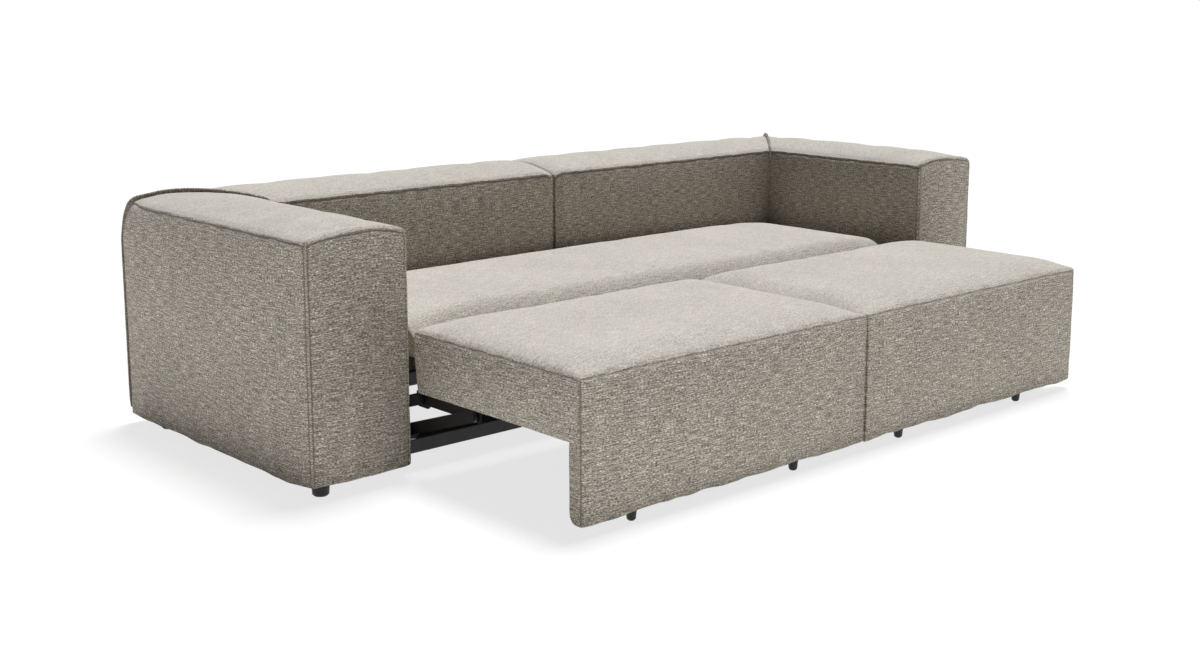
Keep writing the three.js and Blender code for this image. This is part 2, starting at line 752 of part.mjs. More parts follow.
// The strip: a cushion with a rolled front edge on a board, two rails and two battens
function stripCushion() {
  const rollShares = [0, 0.1, 0.25, 0.45, 0.7, 1];
  const flatShares = [0.25, 0.5, 0.75, 0.92, 1];
  const depth = stripRear - stripFront;
  const rolled = rollShares.map((share) => (share * stripRollDepth) / depth);
  const rest = flatShares.map((share) => mix(stripRollDepth / depth, 1, share));
  const along = [...rolled, ...rest].map((share) => 2 * share - 1);
  const place = (a, b, c) => {
    const y = mix(stripFront, stripRear, (b + 1) / 2);
    const roll = Math.max(0, 1 - (y - stripFront) / stripRollDepth);
    const fall = roll ** stripRollPower;
    const drop = stripRollDrop * fall + stripEndDrop * a ** 8 * (1 - fall);
    const crown = stripCrown * (1 - b ** 4) * (1 - roll) * (1 - a ** 4);
    const top = stripSeamHeight + crown - drop;
    return [a * stripHalfWidth, y, mix(stripCushionBottom, top, (c + 1) / 2)];
  };
  return gridBlock(stations(16), along, [-1, 0, 1], place);
}

function stripBoard() {
  return box(
    -stripHalfWidth + stripBoardInset, stripHalfWidth - stripBoardInset,
    stripFront + stripBoardInset, stripRear - stripBoardInset, stripBoardBottom, stripBoardTop);
}

function stripRailEnds() {
  const front = stripFrontPivotBack + stripReach - stripRailReach;
  return [front, stripFrontPivotBack + stripLinkSpacing + stripReach + stripRailReach];
}

function stripSideRail(side) {
  const [front, rear] = stripRailEnds();
  const outer = stripHalfWidth + stripRailOverhang;
  const rail = tube(side * outer, side * (outer - stripRailWidth), front, rear,
    stripRailTop - stripRailHeight, stripRailTop, tubeWall, "y");
  const beyondLink = armFace - stripLinkFromArm + touchGap;
  const bolts = [stripFrontPivotBack, stripFrontPivotBack + stripLinkSpacing].map((y) => pivotBolt(
    y + stripReach, stripPivotHeight + stripLift, stripBoltRadius,
    side * (outer - tubeWall / 2), side * beyondLink, side * (beyondLink + boltHeadThickness)));
  return joined([rail, ...bolts]);
}

function stripBatten(share) {
  const [front, rear] = stripRailEnds();
  const reach = stripHalfWidth + stripRailOverhang - stripRailWidth - touchGap;
  const centre = mix(front, rear, share);
  return tube(-reach, reach, centre - battenWidth / 2, centre + battenWidth / 2,
    stripRailTop - stripRailHeight, stripRailTop, tubeWall, "x");
}

// Assembly
const base = new THREE.Group();
const seatLinks = new THREE.Group();
const seats = new THREE.Group();
const stripLinks = new THREE.Group();
const strip = new THREE.Group();

for (const [word, side] of Object.entries(sides)) {
  base.add(mesh(`${word}_arm_cover`, armCover(side), fabric));
  base.add(mesh(`${word}_back_cover`, backCover(side), fabric));
  base.add(mesh(`${word}_arm_carcass`, carcass(armPlan(side), 1), timber));
  base.add(mesh(`${word}_back_carcass`, carcass(backPlan(side), 0), timber));
  base.add(mesh(`${word}_arm_base_board`, baseBoard(armPlan(side)), timber));
  base.add(mesh(`${word}_back_base_board`, baseBoard(backPlan(side)), timber));
  const footX = side * (halfWidth - bodyFootFromSide);
  base.add(bodyFoot(`${word}_front_foot`, footX, bodyFootFromFront));
  base.add(bodyFoot(`${word}_rear_foot`, footX, overallDepth - rearFootFromRear));
  base.add(bodyFoot(`${word}_back_foot`, side * backFootFromSplit, overallDepth - backFootFromRear));
  base.add(mesh(`${word}_side_rail`, sideRail(side), blackSteel));
  base.add(mesh(`${word}_rail_gusset`, gusset(side), zinc));
  seatLinks.add(seatLink(`${word}_front_seat_link`, side, frontPivotBack));
  seatLinks.add(seatLink(`${word}_rear_seat_link`, side, rearPivotBack));
  stripLinks.add(stripLink(`${word}_front_strip_link`, side, stripFrontPivotBack));
  stripLinks.add(stripLink(
    `${word}_rear_strip_link`, side, stripFrontPivotBack + stripLinkSpacing));
  seats.add(mesh(`${word}_seat_cushion`, seatCushion(side), fabric));
  seats.add(mesh(`${word}_seat_apron`, seatApron(side), fabric));
  seats.add(mesh(`${word}_apron_board`, apronBoardBox(side, 0, seatUnderside - touchGap), timber));
  seats.add(mesh(`${word}_seat_board`, seatBoard(side), timber));
  seats.add(mesh(`${word}_seat_rail`, seatRail(side), blackSteel));
  const [firstFoot, lastFoot] = seatFootPlaces(side);
  seats.add(seatFoot(`${word}_block_left_foot`, firstFoot));
  seats.add(seatFoot(`${word}_block_right_foot`, lastFoot));
  strip.add(mesh(`${word}_strip_rail`, stripSideRail(side), blackSteel));
  base.add(mesh(`${word}_front_upright`, frontUpright(side), blackSteel));
  base.add(mesh(`${word}_rear_upright`, rearUpright(side), blackSteel));
}
base.add(mesh("front_rail", frontRail(), blackSteel));
base.add(mesh("rear_rail", rearRail(), blackSteel));
const beamFront = -seatFront + seatWallThickness + seatBeamWidth / 2;
const beamMiddle = frontPivotBack - seatTravel / 2 - middleBeamLead;
const beamRear = seatRear - seatRearUndercut - 2 * touchGap - seatBeamWidth / 2;
seats.add(mesh("seat_front_beam", seatBeam(beamFront), blackSteel));
seats.add(mesh("seat_middle_beam", seatBeam(beamMiddle), blackSteel));
seats.add(mesh("seat_rear_beam", seatBeam(beamRear), blackSteel));
strip.add(mesh("strip_cushion", stripCushion(), fabric));
strip.add(mesh("strip_board", stripBoard(), timber));
strip.add(mesh("strip_front_batten", stripBatten(battenShares[0]), blackSteel));
strip.add(mesh("strip_rear_batten", stripBatten(battenShares[1]), blackSteel));

// The finished sofa stands on the floor with its origin below the middle of its outline
const sofa = new THREE.Group();
sofa.add(base, seatLinks, seats, stripLinks, strip);
sofa.updateMatrixWorld(true);
const outline = new THREE.Box3().setFromObject(sofa, true);
const assembly = new THREE.Group();
assembly.add(sofa);
sofa.position.set(0, -(outline.min.y + outline.max.y) / 2, 0);

export default assembly;
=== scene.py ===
# A sleeper sofa, opened as a bed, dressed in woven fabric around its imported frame.
# Metres, in the frame's own axes: X across, Y from front to back, Z up.
import json
import math

import bpy
import numpy as np
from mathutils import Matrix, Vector
from mathutils.bvhtree import BVHTree

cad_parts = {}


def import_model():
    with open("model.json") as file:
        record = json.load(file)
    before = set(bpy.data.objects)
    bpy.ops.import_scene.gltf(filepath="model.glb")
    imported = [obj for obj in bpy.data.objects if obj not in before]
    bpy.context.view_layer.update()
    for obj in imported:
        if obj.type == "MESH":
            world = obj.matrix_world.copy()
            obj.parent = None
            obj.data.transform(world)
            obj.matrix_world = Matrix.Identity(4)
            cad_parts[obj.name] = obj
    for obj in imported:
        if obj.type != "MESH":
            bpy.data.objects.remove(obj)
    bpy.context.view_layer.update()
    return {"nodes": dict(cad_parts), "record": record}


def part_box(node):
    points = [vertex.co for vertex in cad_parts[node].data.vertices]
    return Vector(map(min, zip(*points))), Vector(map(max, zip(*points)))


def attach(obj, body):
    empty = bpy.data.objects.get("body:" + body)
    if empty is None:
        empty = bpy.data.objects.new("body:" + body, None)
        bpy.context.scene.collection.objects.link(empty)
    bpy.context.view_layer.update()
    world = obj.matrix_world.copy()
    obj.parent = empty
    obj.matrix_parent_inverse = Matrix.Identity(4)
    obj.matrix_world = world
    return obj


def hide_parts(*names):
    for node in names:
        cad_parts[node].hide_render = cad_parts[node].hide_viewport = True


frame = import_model()

# Sizes of the upholstery, as in the frame's source
SEAM_HEIGHT = 0.639  # top seams of arms and backs
SEAT_SEAM_HEIGHT = 0.376
STRIP_SEAM_HEIGHT = 0.390
COVER_OVER_BOARD = 0.0263  # outer face of an arm or back outside its base board
HALF_PLAY = 0.0004  # half the gap between two covers
BODY_CROWN = 0.025
ARM_FRONT_CROWN_SHARE = 0.7
ARM_FRONT_LEAN = 0.35  # how much fuller its front arch is towards the seat
BACK_SPLIT_CROWN_SHARE = 0.85
BACK_SPLIT_SAG = 0.003  # how far a back falls beside the other back, all the way across
BACK_SPLIT_FRONT_SAG = 0.010  # and how much further at its front
BACK_SPLIT_REACH = 0.06
CROWN_RUN_OUT = 0.17
OUTER_SWELL = 0.009
INNER_SWELL = 0.005
SEAM_DRAW_IN = 0.003
SEAT_CROWN = 0.028
SEAT_CROWN_RISE = 0.034
SEAT_SPLIT_SAG = 0.015  # how far a seat falls beside the other seat
SEAT_SPLIT_REACH = 0.05
SEAT_FRONT_SWELL = 0.007
SEAT_REAR_SWELL = 0.004
SEAT_SIDE_SWELL = 0.004
SEAT_REAR_UNDERCUT = 0.012
SEAT_WALL = 0.013  # padding outside the seat frame
SEAT_REAR_PLAY = 0.0006  # between the seat board and its cover
SEAT_POCKET_PLAY = 0.0004
APRON_REAR_RADIUS = 0.03
STRIP_CROWN = 0.014
STRIP_CROWN_RISE = 0.02
STRIP_ROLL_DEPTH = 0.08
STRIP_ROLL_DROP = 0.094
STRIP_ROLL_POWER = 1.9
STRIP_END_DROP = 0.022

# Edges, seams and stitches
ARM_RADII = [(0.024, 0.018), (0.011, 0.004), (0.007, 0.019)]  # X, Y, Z: low and high side
BACK_RADII = [(0.004, 0.018), (0.014, 0.018), (0.007, 0.017)]
SEAT_RADII = [(0.009, 0.012), (0.013, 0.018), (0.008, 0.017)]
STRIP_RADII = [(0.008, 0.008), (0.0, 0.01), (0.0, 0.012)]
HEM_DROP = 0.012  # the hem of arms and backs hangs below their base boards
OUTER_HEM_DROP = 0.010  # and further down along their outer sides, behind the front corners
OUTER_HEM_REACH = 0.09
SEAT_HEM_DROP = 0.007
RECESS_DEPTH = 0.02 + HEM_DROP  # hollow inside the hem
HEM_WIDTH = COVER_OVER_BOARD - 0.003
CORNER_TUCK = 0.006  # how far a lower front corner is gathered up
CORNER_TUCK_REACH = 0.05
REAR_CORNER_PULL = 0.034  # how far an upper rear corner is drawn in along its mitre
REAR_CORNER_REACH = 0.1
REAR_CORNER_FALL = 0.12
EAR = 0.0035  # pointed corners where three seams of a seat meet
# Seams round a top by style: place below the edge, groove, lip above it and the depth of painted
# shade in the groove
TOP_SEAMS = {
    "soft": (0.009, 0.0028, 0.0028, 0.56), "slight": (0.008, 0.0022, 0.0024, 0.27),
    "faint": (0.005, 0.0010, 0.0008, 0.22)}
SEAM_RUN_OUT = 0.012  # distance in which a seam's relief weakens towards its ends
PUCKER_REACH = 0.016
STITCH_LENGTH = 0.0052
STITCH_PITCH = 0.0085
STITCH_RADIUS = 0.00055
ROW_MARGIN = 0.015  # between a row's ends and the corners
# Rows of stitches: from a seam, a lower edge, a top edge, a seat's edges and an apron's sides
SEAM_ROW = 0.0078
HEM_ROW = 0.014
TOP_ROW = 0.009
SEAT_ROW = 0.008
APRON_ROW = 0.007

# Mesh steps: places near an edge, then even steps between them
EDGE_STEPS = [0, 0.0012, 0.0024, 0.0036, 0.005, 0.0065, 0.008, 0.0098, 0.0121, 0.0152, 0.0194,
              0.025, 0.0325, 0.042]
EVEN_STEP = 0.0125
CLOTH_STEP = 0.026
CLOTH = {
    "quality": 6, "mass": 0.35, "tension_stiffness": 22, "compression_stiffness": 22,
    "shear_stiffness": 9, "bending_stiffness": 1.6, "tension_damping": 12,
    "compression_damping": 12, "air_damping": 3, "shrink_min": -0.022, "use_pressure": True,
    "uniform_pressure_force": 2.2}
CLOTH_CAP = 0.006  # how far the cloth may swell
FIRM_CLOTH_CAP = 0.005  # the same for seats and strip
FITTING_FRAMES = 16
EASING = 2  # times that the cloth's swelling is averaged

# The photograph's view: the camera looks slightly down, with its lens shifted a little
CAMERA_PLACE = (-3.211, -3.299, 1.231)
CAMERA_YAW = math.radians(42.02)
CAMERA_PITCH = math.radians(10)
FOCAL_PIXELS = 1559.7
SHIFT_Y = -0.0608
IMAGE_WIDTH = 1200
SENSOR_WIDTH = 36.0

SIDES = {"left": -1, "right": 1}
WORDS = {-1: "left", 1: "right"}
OTHER_AXES = ([1, 2], [0, 2], [0, 1])
TINY = 1e-5


# Numbers and profiles
def mix(a, b, t):
    return a + (b - a) * t


def smooth(t):
    t = np.clip(t, 0, 1)
    return t * t * (3 - 2 * t)


def bump_at(distance, width, centre=0):
    """A smooth bump of height 1 around a centre."""
    return np.exp(-((distance - centre) / width) ** 2)


def wander(places, wavelength, seed):
    """A smooth irregular line along places, about from -1 to 1, the same each run."""
    own = np.random.default_rng(seed)
    line = np.zeros_like(places)
    for octave in (1.0, 1.7, 2.9, 4.3):
        phase, drift = own.uniform(0, 2 * math.pi, 2)
        turn = 2 * math.pi * places / wavelength * octave
        line += np.sin(turn + phase + 1.4 * np.sin(turn * 0.31 + drift)) / octave ** 0.7
    return line / 1.9


def face_swell(along, up, swell):
    """How far a side stands out in its middle, and is drawn in along its upper and lower seams."""
    return (1 - along ** 2) * (swell * (1 - up ** 2) - SEAM_DRAW_IN * up ** 2)


def risen(place, length, rise):
    """From 0 at both ends of a length to 1 between them, mostly within rise of each end."""
    place = np.clip(place, 0, length)
    full = (1 - math.exp(-length / 2 / rise)) ** 2
    return (1 - np.exp(-place / rise)) * (1 - np.exp((place - length) / rise)) / full


def steps(marks, near, even):
    """Places through the marks: close together beside each mark, even between them."""
    places = []
    for low, high in zip(marks, marks[1:]):
        length = high - low
        close = [s for s in near if s < length / 2 - 0.003]
        count = max(2, round((length - 2 * close[-1]) / even) + 1)
        middle = np.linspace(close[-1], length - close[-1], count)
        places += [low + s for s in (*close, *middle)] + [high - s for s in close]
    return np.unique(np.round(places, 6))


# A block: the skin of a box, or of a box with a notch, rounded at its edges and bent into place
class Block:
    """Points are counted from 0 to size along three axes. place(a, b, c) bends the box, with a, b
    and c from -1 to 1. radii gives each axis its rounding at its low and high side. A notch, as
    (depth, height), leaves out what lies behind the depth and below the height."""

    def __init__(self, name, size, radii, place, mirrored, notch=None, even=EVEN_STEP,
                 near=EDGE_STEPS):
        self.name, self.size, self.radii = name, np.array(size), radii
        self.place, self.mirrored, self.notch = place, mirrored, notch
        marks = [[0, length] for length in size]
        if notch:
            marks[1].insert(1, notch[0])
            marks[2].insert(1, notch[1])
        self.marks = marks
        self.stations = [steps(places, near, even) for places in marks]
        self.surface()
        self.flat = np.stack(
            [self.stations[axis][self.cells[axis]] for axis in range(3)], axis=1)
        self.behind = self.flat[:, 2] < (notch[1] - TINY if notch else 0)
        self.unrolled = None  # carries places along Y to lengths over a bent surface

    def surface(self):
        """Finds the quads between filled and empty cells, and numbers the nodes that they use."""
        filled = np.ones([len(s) - 1 for s in self.stations], bool)
        if self.notch:
            behind = np.searchsorted(self.stations[1], self.notch[0] - TINY)
            below = np.searchsorted(self.stations[2], self.notch[1] - TINY)
            filled[:, behind:, :below] = False
        padded = np.pad(filled, 1).astype(int)
        shape = [len(s) for s in self.stations]
        quads, axes = [], []
        for axis in range(3):
            inner = [slice(None) if other == axis else slice(1, -1) for other in range(3)]
            change = np.diff(padded, axis=axis)[tuple(inner)]
            cell = np.stack(np.nonzero(change))
            first, second = OTHER_AXES[axis]
            corners = []
            for along, up in ((0, 0), (1, 0), (1, 1), (0, 1)):
                corner = cell.copy()
                corner[first] += along
                corner[second] += up
                corners.append(np.ravel_multi_index(corner, shape))
            quad = np.stack(corners, axis=1)
            turned = (change[tuple(cell)] > 0) ^ (axis == 1) ^ self.mirrored
            quad[turned] = quad[turned][:, ::-1]
            quads.append(quad)
            axes.append(np.full(len(quad), axis))
        used, self.quads = np.unique(np.concatenate(quads), return_inverse=True)
        self.quads = self.quads.reshape(-1, 4)
        self.axes = np.concatenate(axes)
        self.cells = np.unravel_index(used, shape)

    def rounded(self, flat=None):
        """The box's points, with its edges rounded by the radii of the sides that meet there."""
        behind = self.behind if flat is None else np.zeros(len(flat), bool)
        flat = self.flat if flat is None else flat
        low, high = np.maximum(np.transpose(self.radii), 1e-9)
        size = np.tile(self.size, (len(flat), 1))
        if self.notch:
            size[behind, 1] = self.notch[0]
        inner = np.clip(flat, low, size - high)
        away = flat - inner
        radius = np.where(away < 0, low, high)
        reach = np.linalg.norm(away / radius, axis=1)
        return inner + away / np.maximum(reach, 1)[:, None]

    def placed(self, points):
        """Bends points of the box into place."""
        return np.stack(self.place(*np.moveaxis(2 * points / self.size - 1, -1, 0)), axis=-1)

    def to_side(self, axis, end):
        return self.size[axis] - self.flat[:, axis] if end > 0 else self.flat[:, axis]

    def to_edge(self, edge):
        """Distance over the surface from each point to the edge between two sides."""
        return self.to_side(*edge[0]) + self.to_side(*edge[1])

    def weave_places(self):
        """Where each quad's corners lie in the cloth: weft along, warp up."""
        places = np.empty((len(self.quads), 4, 2))
        flat = self.flat.copy()
        if self.unrolled:
            flat[:, 1] = self.unrolled(flat[:, 1])
        for axis, others in enumerate(OTHER_AXES):
            chosen = self.axes == axis
            places[chosen] = flat[self.quads[chosen]][:, :, others]
        return places


def mesh_object(name, points, quads, smooth_shaded=True):
    mesh = bpy.data.meshes.new(name)
    mesh.vertices.add(len(points))
    mesh.vertices.foreach_set("co", np.asarray(points, float).ravel())
    quads = np.asarray(quads)
    mesh.loops.add(quads.size)
    mesh.loops.foreach_set("vertex_index", quads.ravel().astype(np.int32))
    mesh.polygons.add(len(quads))
    starts = np.arange(0, quads.size, quads.shape[1], dtype=np.int32)
    mesh.polygons.foreach_set("loop_start", starts)
    mesh.update(calc_edges=True)
    mesh.validate()
    mesh.polygons.foreach_set("use_smooth", np.full(len(mesh.polygons), smooth_shaded))
    obj = bpy.data.objects.new(name, mesh)
    bpy.context.scene.collection.objects.link(obj)
    return obj


def point_values(obj, name, values):
    """Gives each point of a mesh a number that its material reads."""
    attribute = obj.data.attributes.new(name, "FLOAT", "POINT")
    attribute.data.foreach_set("value", np.asarray(values, np.float32))


def weave_map(obj, places):
    """Lays the cloth on a mesh: a place for each corner of each face."""
    obj.data.uv_layers.new(name="Weave").data.foreach_set("uv", places.ravel())


def tube_quads(rings, sides, start=0):
    """Quads between rings of points, which are numbered from start."""
    quads = []
    for ring in range(rings - 1):
        near, far = start + ring * sides, start + (ring + 1) * sides
        for turn in range(sides):
            following = (turn + 1) % sides
            quads.append((near + turn, near + following, far + following, far + turn))
    return quads


def unit(rows):
    return rows / np.maximum(np.linalg.norm(rows, axis=1, keepdims=True), 1e-12)


def normals_of(points, quads):
    """Smooth normals of a closed quad mesh."""
    first = points[quads[:, 2]] - points[quads[:, 0]]
    second = points[quads[:, 3]] - points[quads[:, 1]]
    face = np.cross(first, second)
    normal = np.zeros_like(points)
    for corner in range(4):
        np.add.at(normal, quads[:, corner], face)
    return unit(normal)


# Seams. An edge is written as two sides, each an axis and an end. The function of each kind of seam
# gives how far it raises or sinks the surface, and how much painted shade it puts in its groove.
def run_axis(edge):
    """The axis that an edge runs along: the one that neither of its sides faces."""
    return 3 - edge[0][0] - edge[1][0]


class Run:
    """A seam along one edge of a block, and where the block's points lie from it."""

    def __init__(self, block, edge, seed):
        self.seed = seed
        self.first, self.second = block.to_side(*edge[0]), block.to_side(*edge[1])
        self.distance = block.to_edge(edge)
        axis = run_axis(edge)
        self.along = block.flat[:, axis]
        ends = np.minimum(self.along, block.size[axis] - self.along)
        self.fade = smooth(ends / SEAM_RUN_OUT) * 0.7 + 0.3
        self.pucker = wander(self.along, 0.11, seed + 5)
        self.near = np.exp(-self.distance / PUCKER_REACH)


def top_seam(run, place, groove, lip, dark):
    """A seam a little below the edge of a top, under a soft lip, with painted shade in its groove.
    """
    below = np.where(run.second < 1e-6, -run.first, run.first + run.second)
    below = below - place * (1 + 0.2 * run.pucker)
    above = smooth(-below / 0.0035)
    height = run.fade * (lip * above * bump_at(below, 0.015)
                         - groove * (1 - above) * bump_at(below, 0.004))
    slack = np.maximum(wander(run.along, 0.16, run.seed + 31), 0)
    height -= 0.4 * groove * slack * (1 - above) * bump_at(below, 0.02)
    crease_shade = dark * (1 + 0.25 * run.pucker) * smooth((below + 0.003) / 0.003) * bump_at(
        np.maximum(below, 0), 0.006)
    return height, crease_shade


def welt_seam(run):
    """A doubled edge that stands out, between two stitched grooves with painted shade in them."""
    groove = 0.0067
    height = 0.0022 * np.exp(-(run.distance / 0.0044) ** 4) - 0.0020 * bump_at(
        run.distance, 0.0019, groove)
    ripple = 0.0004 * run.pucker * run.near
    return run.fade * height + ripple, 0.95 * bump_at(run.distance, 0.0022, groove)


def split_seam(run):
    """An edge that lies against another cover: painted shade along the gap, with a raised rim."""
    height = 0.0014 * bump_at(run.distance, 0.0026, 0.0095) - 0.0022 * bump_at(
        run.distance, 0.0045)
    return run.fade * height, smooth(1.4 - run.distance / 0.0052)


def plain_seam(run):
    """A narrow groove on the edge, with painted shade in it."""
    height = 0.0008 * bump_at(run.distance, 0.0042, 0.0095) - 0.0034 * bump_at(
        run.distance, 0.0038)
    ripple = 0.0005 * run.pucker * run.near
    return run.fade * height + ripple, 0.85 * bump_at(run.distance, 0.0034)


EDGE_SEAMS = {"welt": welt_seam, "split": split_seam, "plain": plain_seam}


def seam_relief(block, seams):
    """How far seams raise or sink the surface, and how much painted shade each point gets in their
    grooves and gaps.
    """
    height = np.zeros(len(block.flat))
    crease_shade = np.zeros(len(block.flat))
    for seed, (edge, style) in enumerate(seams):
        run = Run(block, edge, seed)
        if style in TOP_SEAMS:
            rise, dark = top_seam(run, *TOP_SEAMS[style])
        else:
            rise, dark = EDGE_SEAMS[style](run)
        height += rise
        crease_shade = np.maximum(crease_shade, dark)
    if block.notch:
        for end in (-1, 1):
            corner = block.to_side(0, end) + block.to_side(1, -1) + block.to_side(2, 1)
            height += EAR * bump_at(corner, 0.014)
    return height, crease_shade


# Cloth: each cover's panels are tried on as cloth, pinned at the seams and swollen from inside
class Fitting:
    """A coarse copy of a block that is simulated, and whose swelling the fine block takes over."""

    def __init__(self, block, seams, also, cap):
        self.block, self.cap = block, cap
        self.coarse = Block(
            block.name + "_cloth", block.size, block.radii, block.place, block.mirrored,
            block.notch, CLOTH_STEP, [0, 0.012])
        self.rest = self.coarse.placed(self.coarse.rounded())
        hold = held(self.coarse, seams, also)
        self.obj = mesh_object(self.coarse.name, self.rest, self.coarse.quads)
        group = self.obj.vertex_groups.new(name="seams")
        for index in np.nonzero(hold > 0.02)[0]:
            group.add([int(index)], float(hold[index]), "REPLACE")
        cloth = self.obj.modifiers.new("Cloth", "CLOTH")
        for key, value in CLOTH.items():
            setattr(cloth.settings, key, value)
        cloth.settings.vertex_group_mass = group.name
        cloth.settings.effector_weights.gravity = 0
        cloth.collision_settings.use_collision = False
        cloth.point_cache.frame_end = FITTING_FRAMES

    def taken(self):
        """The swelling of the coarse block's points, at most cap, carried to the fine block."""
        evaluated = self.obj.evaluated_get(bpy.context.evaluated_depsgraph_get())
        end = np.empty(len(self.rest) * 3)
        evaluated.data.vertices.foreach_get("co", end)
        move = end.reshape(-1, 3) - self.rest
        length = np.linalg.norm(move, axis=1, keepdims=True)
        move *= self.cap * np.tanh(length / self.cap) / np.maximum(length, 1e-9)
        for _ in range(EASING):
            move = neighbours_mean(move, self.coarse.quads)
        bpy.data.objects.remove(self.obj)
        return self.carried(move)

    def carried(self, move):
        """Interpolates a move of the coarse block's points over the fine block, face by face."""
        shape = [len(s) for s in self.coarse.stations]
        field = np.zeros(shape + [3])
        field[self.coarse.cells] = move
        fine = np.zeros((len(self.block.flat), 3))
        for axis in range(3):
            first, second = OTHER_AXES[axis]
            weights = [cubic_weights(self.coarse.stations[other], self.block.stations[other])
                       for other in (first, second)]
            for mark in self.block.marks[axis]:
                from_plane, to_plane = [
                    int(np.argmin(np.abs(one.stations[axis] - mark)))
                    for one in (self.coarse, self.block)]
                full = np.einsum("ui,vj,ijk->uvk", *weights, np.take(field, from_plane, axis=axis))
                chosen = self.block.cells[axis] == to_plane
                fine[chosen] = full[
                    self.block.cells[first][chosen], self.block.cells[second][chosen]]
        return fine


def held(block, seams, also):
    """How firmly each point is pinned: at the seams, at the underside and at further sides."""
    weight = np.zeros(len(block.flat))
    for edge, _ in seams:
        weight = np.maximum(weight, bump_at(block.to_edge(edge), 0.014))
    for side in (Z_LOW, *also):
        weight = np.maximum(weight, bump_at(block.to_side(*side), 0.02))
    if block.notch:
        behind = block.flat[:, 1] > block.notch[0] - TINY
        weight[behind & (block.flat[:, 2] < block.notch[1] + TINY)] = 1
    return weight


def neighbours_mean(values, quads):
    """Each point's value, averaged over the quads round it."""
    total, count = np.zeros_like(values), np.zeros(len(values))
    middle = values[quads].mean(axis=1)
    for corner in range(4):
        np.add.at(total, quads[:, corner], middle)
        np.add.at(count, quads[:, corner], 1)
    return total / count[:, None]


def cubic_weights(known, wanted):
    """Rows of weights that carry values at known places to wanted places, smoothly."""
    weights = np.zeros((len(wanted), len(known)))
    for row, place in enumerate(wanted):
        cell = int(np.clip(np.searchsorted(known, place, "right") - 1, 0, len(known) - 2))
        t = (place - known[cell]) / (known[cell + 1] - known[cell])
        parts = [
            (cell - 1, -0.5 * t + t * t - 0.5 * t ** 3),
            (cell, 1 - 2.5 * t * t + 1.5 * t ** 3),
            (cell + 1, 0.5 * t + 2 * t * t - 1.5 * t ** 3),
            (cell + 2, -0.5 * t * t + 0.5 * t ** 3)]
        for column, share in parts:
            weights[row, min(max(column, 0), len(known) - 1)] += share
    return weights


def fit_all(fittings):
    """Runs every fitting over the same frames and returns the swelling of each."""
    scene = bpy.context.scene
    for number in range(1, FITTING_FRAMES + 1):
        scene.frame_set(number)
    swellings = [fitting.taken() for fitting in fittings]
    scene.frame_set(1)
    return swellings


# Stitches: short capsules laid on the cover, half sunk. Rings are shares of length and radius.
STITCH_RINGS = [(-0.5, 0.35), (-0.36, 0.9), (0.0, 1.0), (0.36, 0.9), (0.5, 0.35)]
STITCH_SIDES = 5  # corners of a ring


def lay_stitch(points, quads, middle, forward, normal, length):
    """Adds one stitch as a row of rings."""
    forward = forward.normalized()
    across = forward.cross(normal).normalized()
    start = len(points)
    for share, radius in STITCH_RINGS:
        centre = middle + forward * (share * length) + normal * (
            STITCH_RADIUS * (0.35 - 1.3 * share * share))
        for turn in range(STITCH_SIDES):
            angle = 2 * math.pi * turn / STITCH_SIDES
            points.append(centre + (across * math.cos(angle) + normal * math.sin(
                angle)) * (STITCH_RADIUS * radius))
    quads.extend(tube_quads(len(STITCH_RINGS), STITCH_SIDES, start))


def stitch_object(name, points, quads, body):
    obj = mesh_object(name, [tuple(p) for p in points], quads)
    obj.data.materials.append(THREAD)
    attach(obj, body)


def stitches(name, block, points, rows, body):
    """Rows of stitches. A row is an edge, on whose first side it lies, and its distance from it."""
    tree = BVHTree.FromPolygons([Vector(p) for p in points], block.quads.tolist())
    all_points, all_quads = [], []
    for edge, from_edge in rows:
        along = run_axis(edge)
        count = int((block.size[along] - 2 * ROW_MARGIN) / STITCH_PITCH)
        offsets = ROW_MARGIN + STITCH_PITCH * (0.5 + np.arange(count))
        flat = np.zeros((count, 3, 3))
        for column, ahead in enumerate((-0.5, 0, 0.5)):
            flat[:, column, along] = offsets + ahead * STITCH_LENGTH
        for (axis, end), inwards in zip(edge, (0, from_edge)):
            flat[:, :, axis] = block.size[axis] - inwards if end > 0 else inwards
        flat = block.rounded(flat.reshape(-1, 3)).reshape(flat.shape)
        for before, middle, after in block.placed(flat):
            hit, normal = tree.find_nearest(Vector(middle))[:2]
            lay_stitch(all_points, all_quads, hit, Vector(after - before), normal, STITCH_LENGTH)
    stitch_object(name, all_points, all_quads, body)


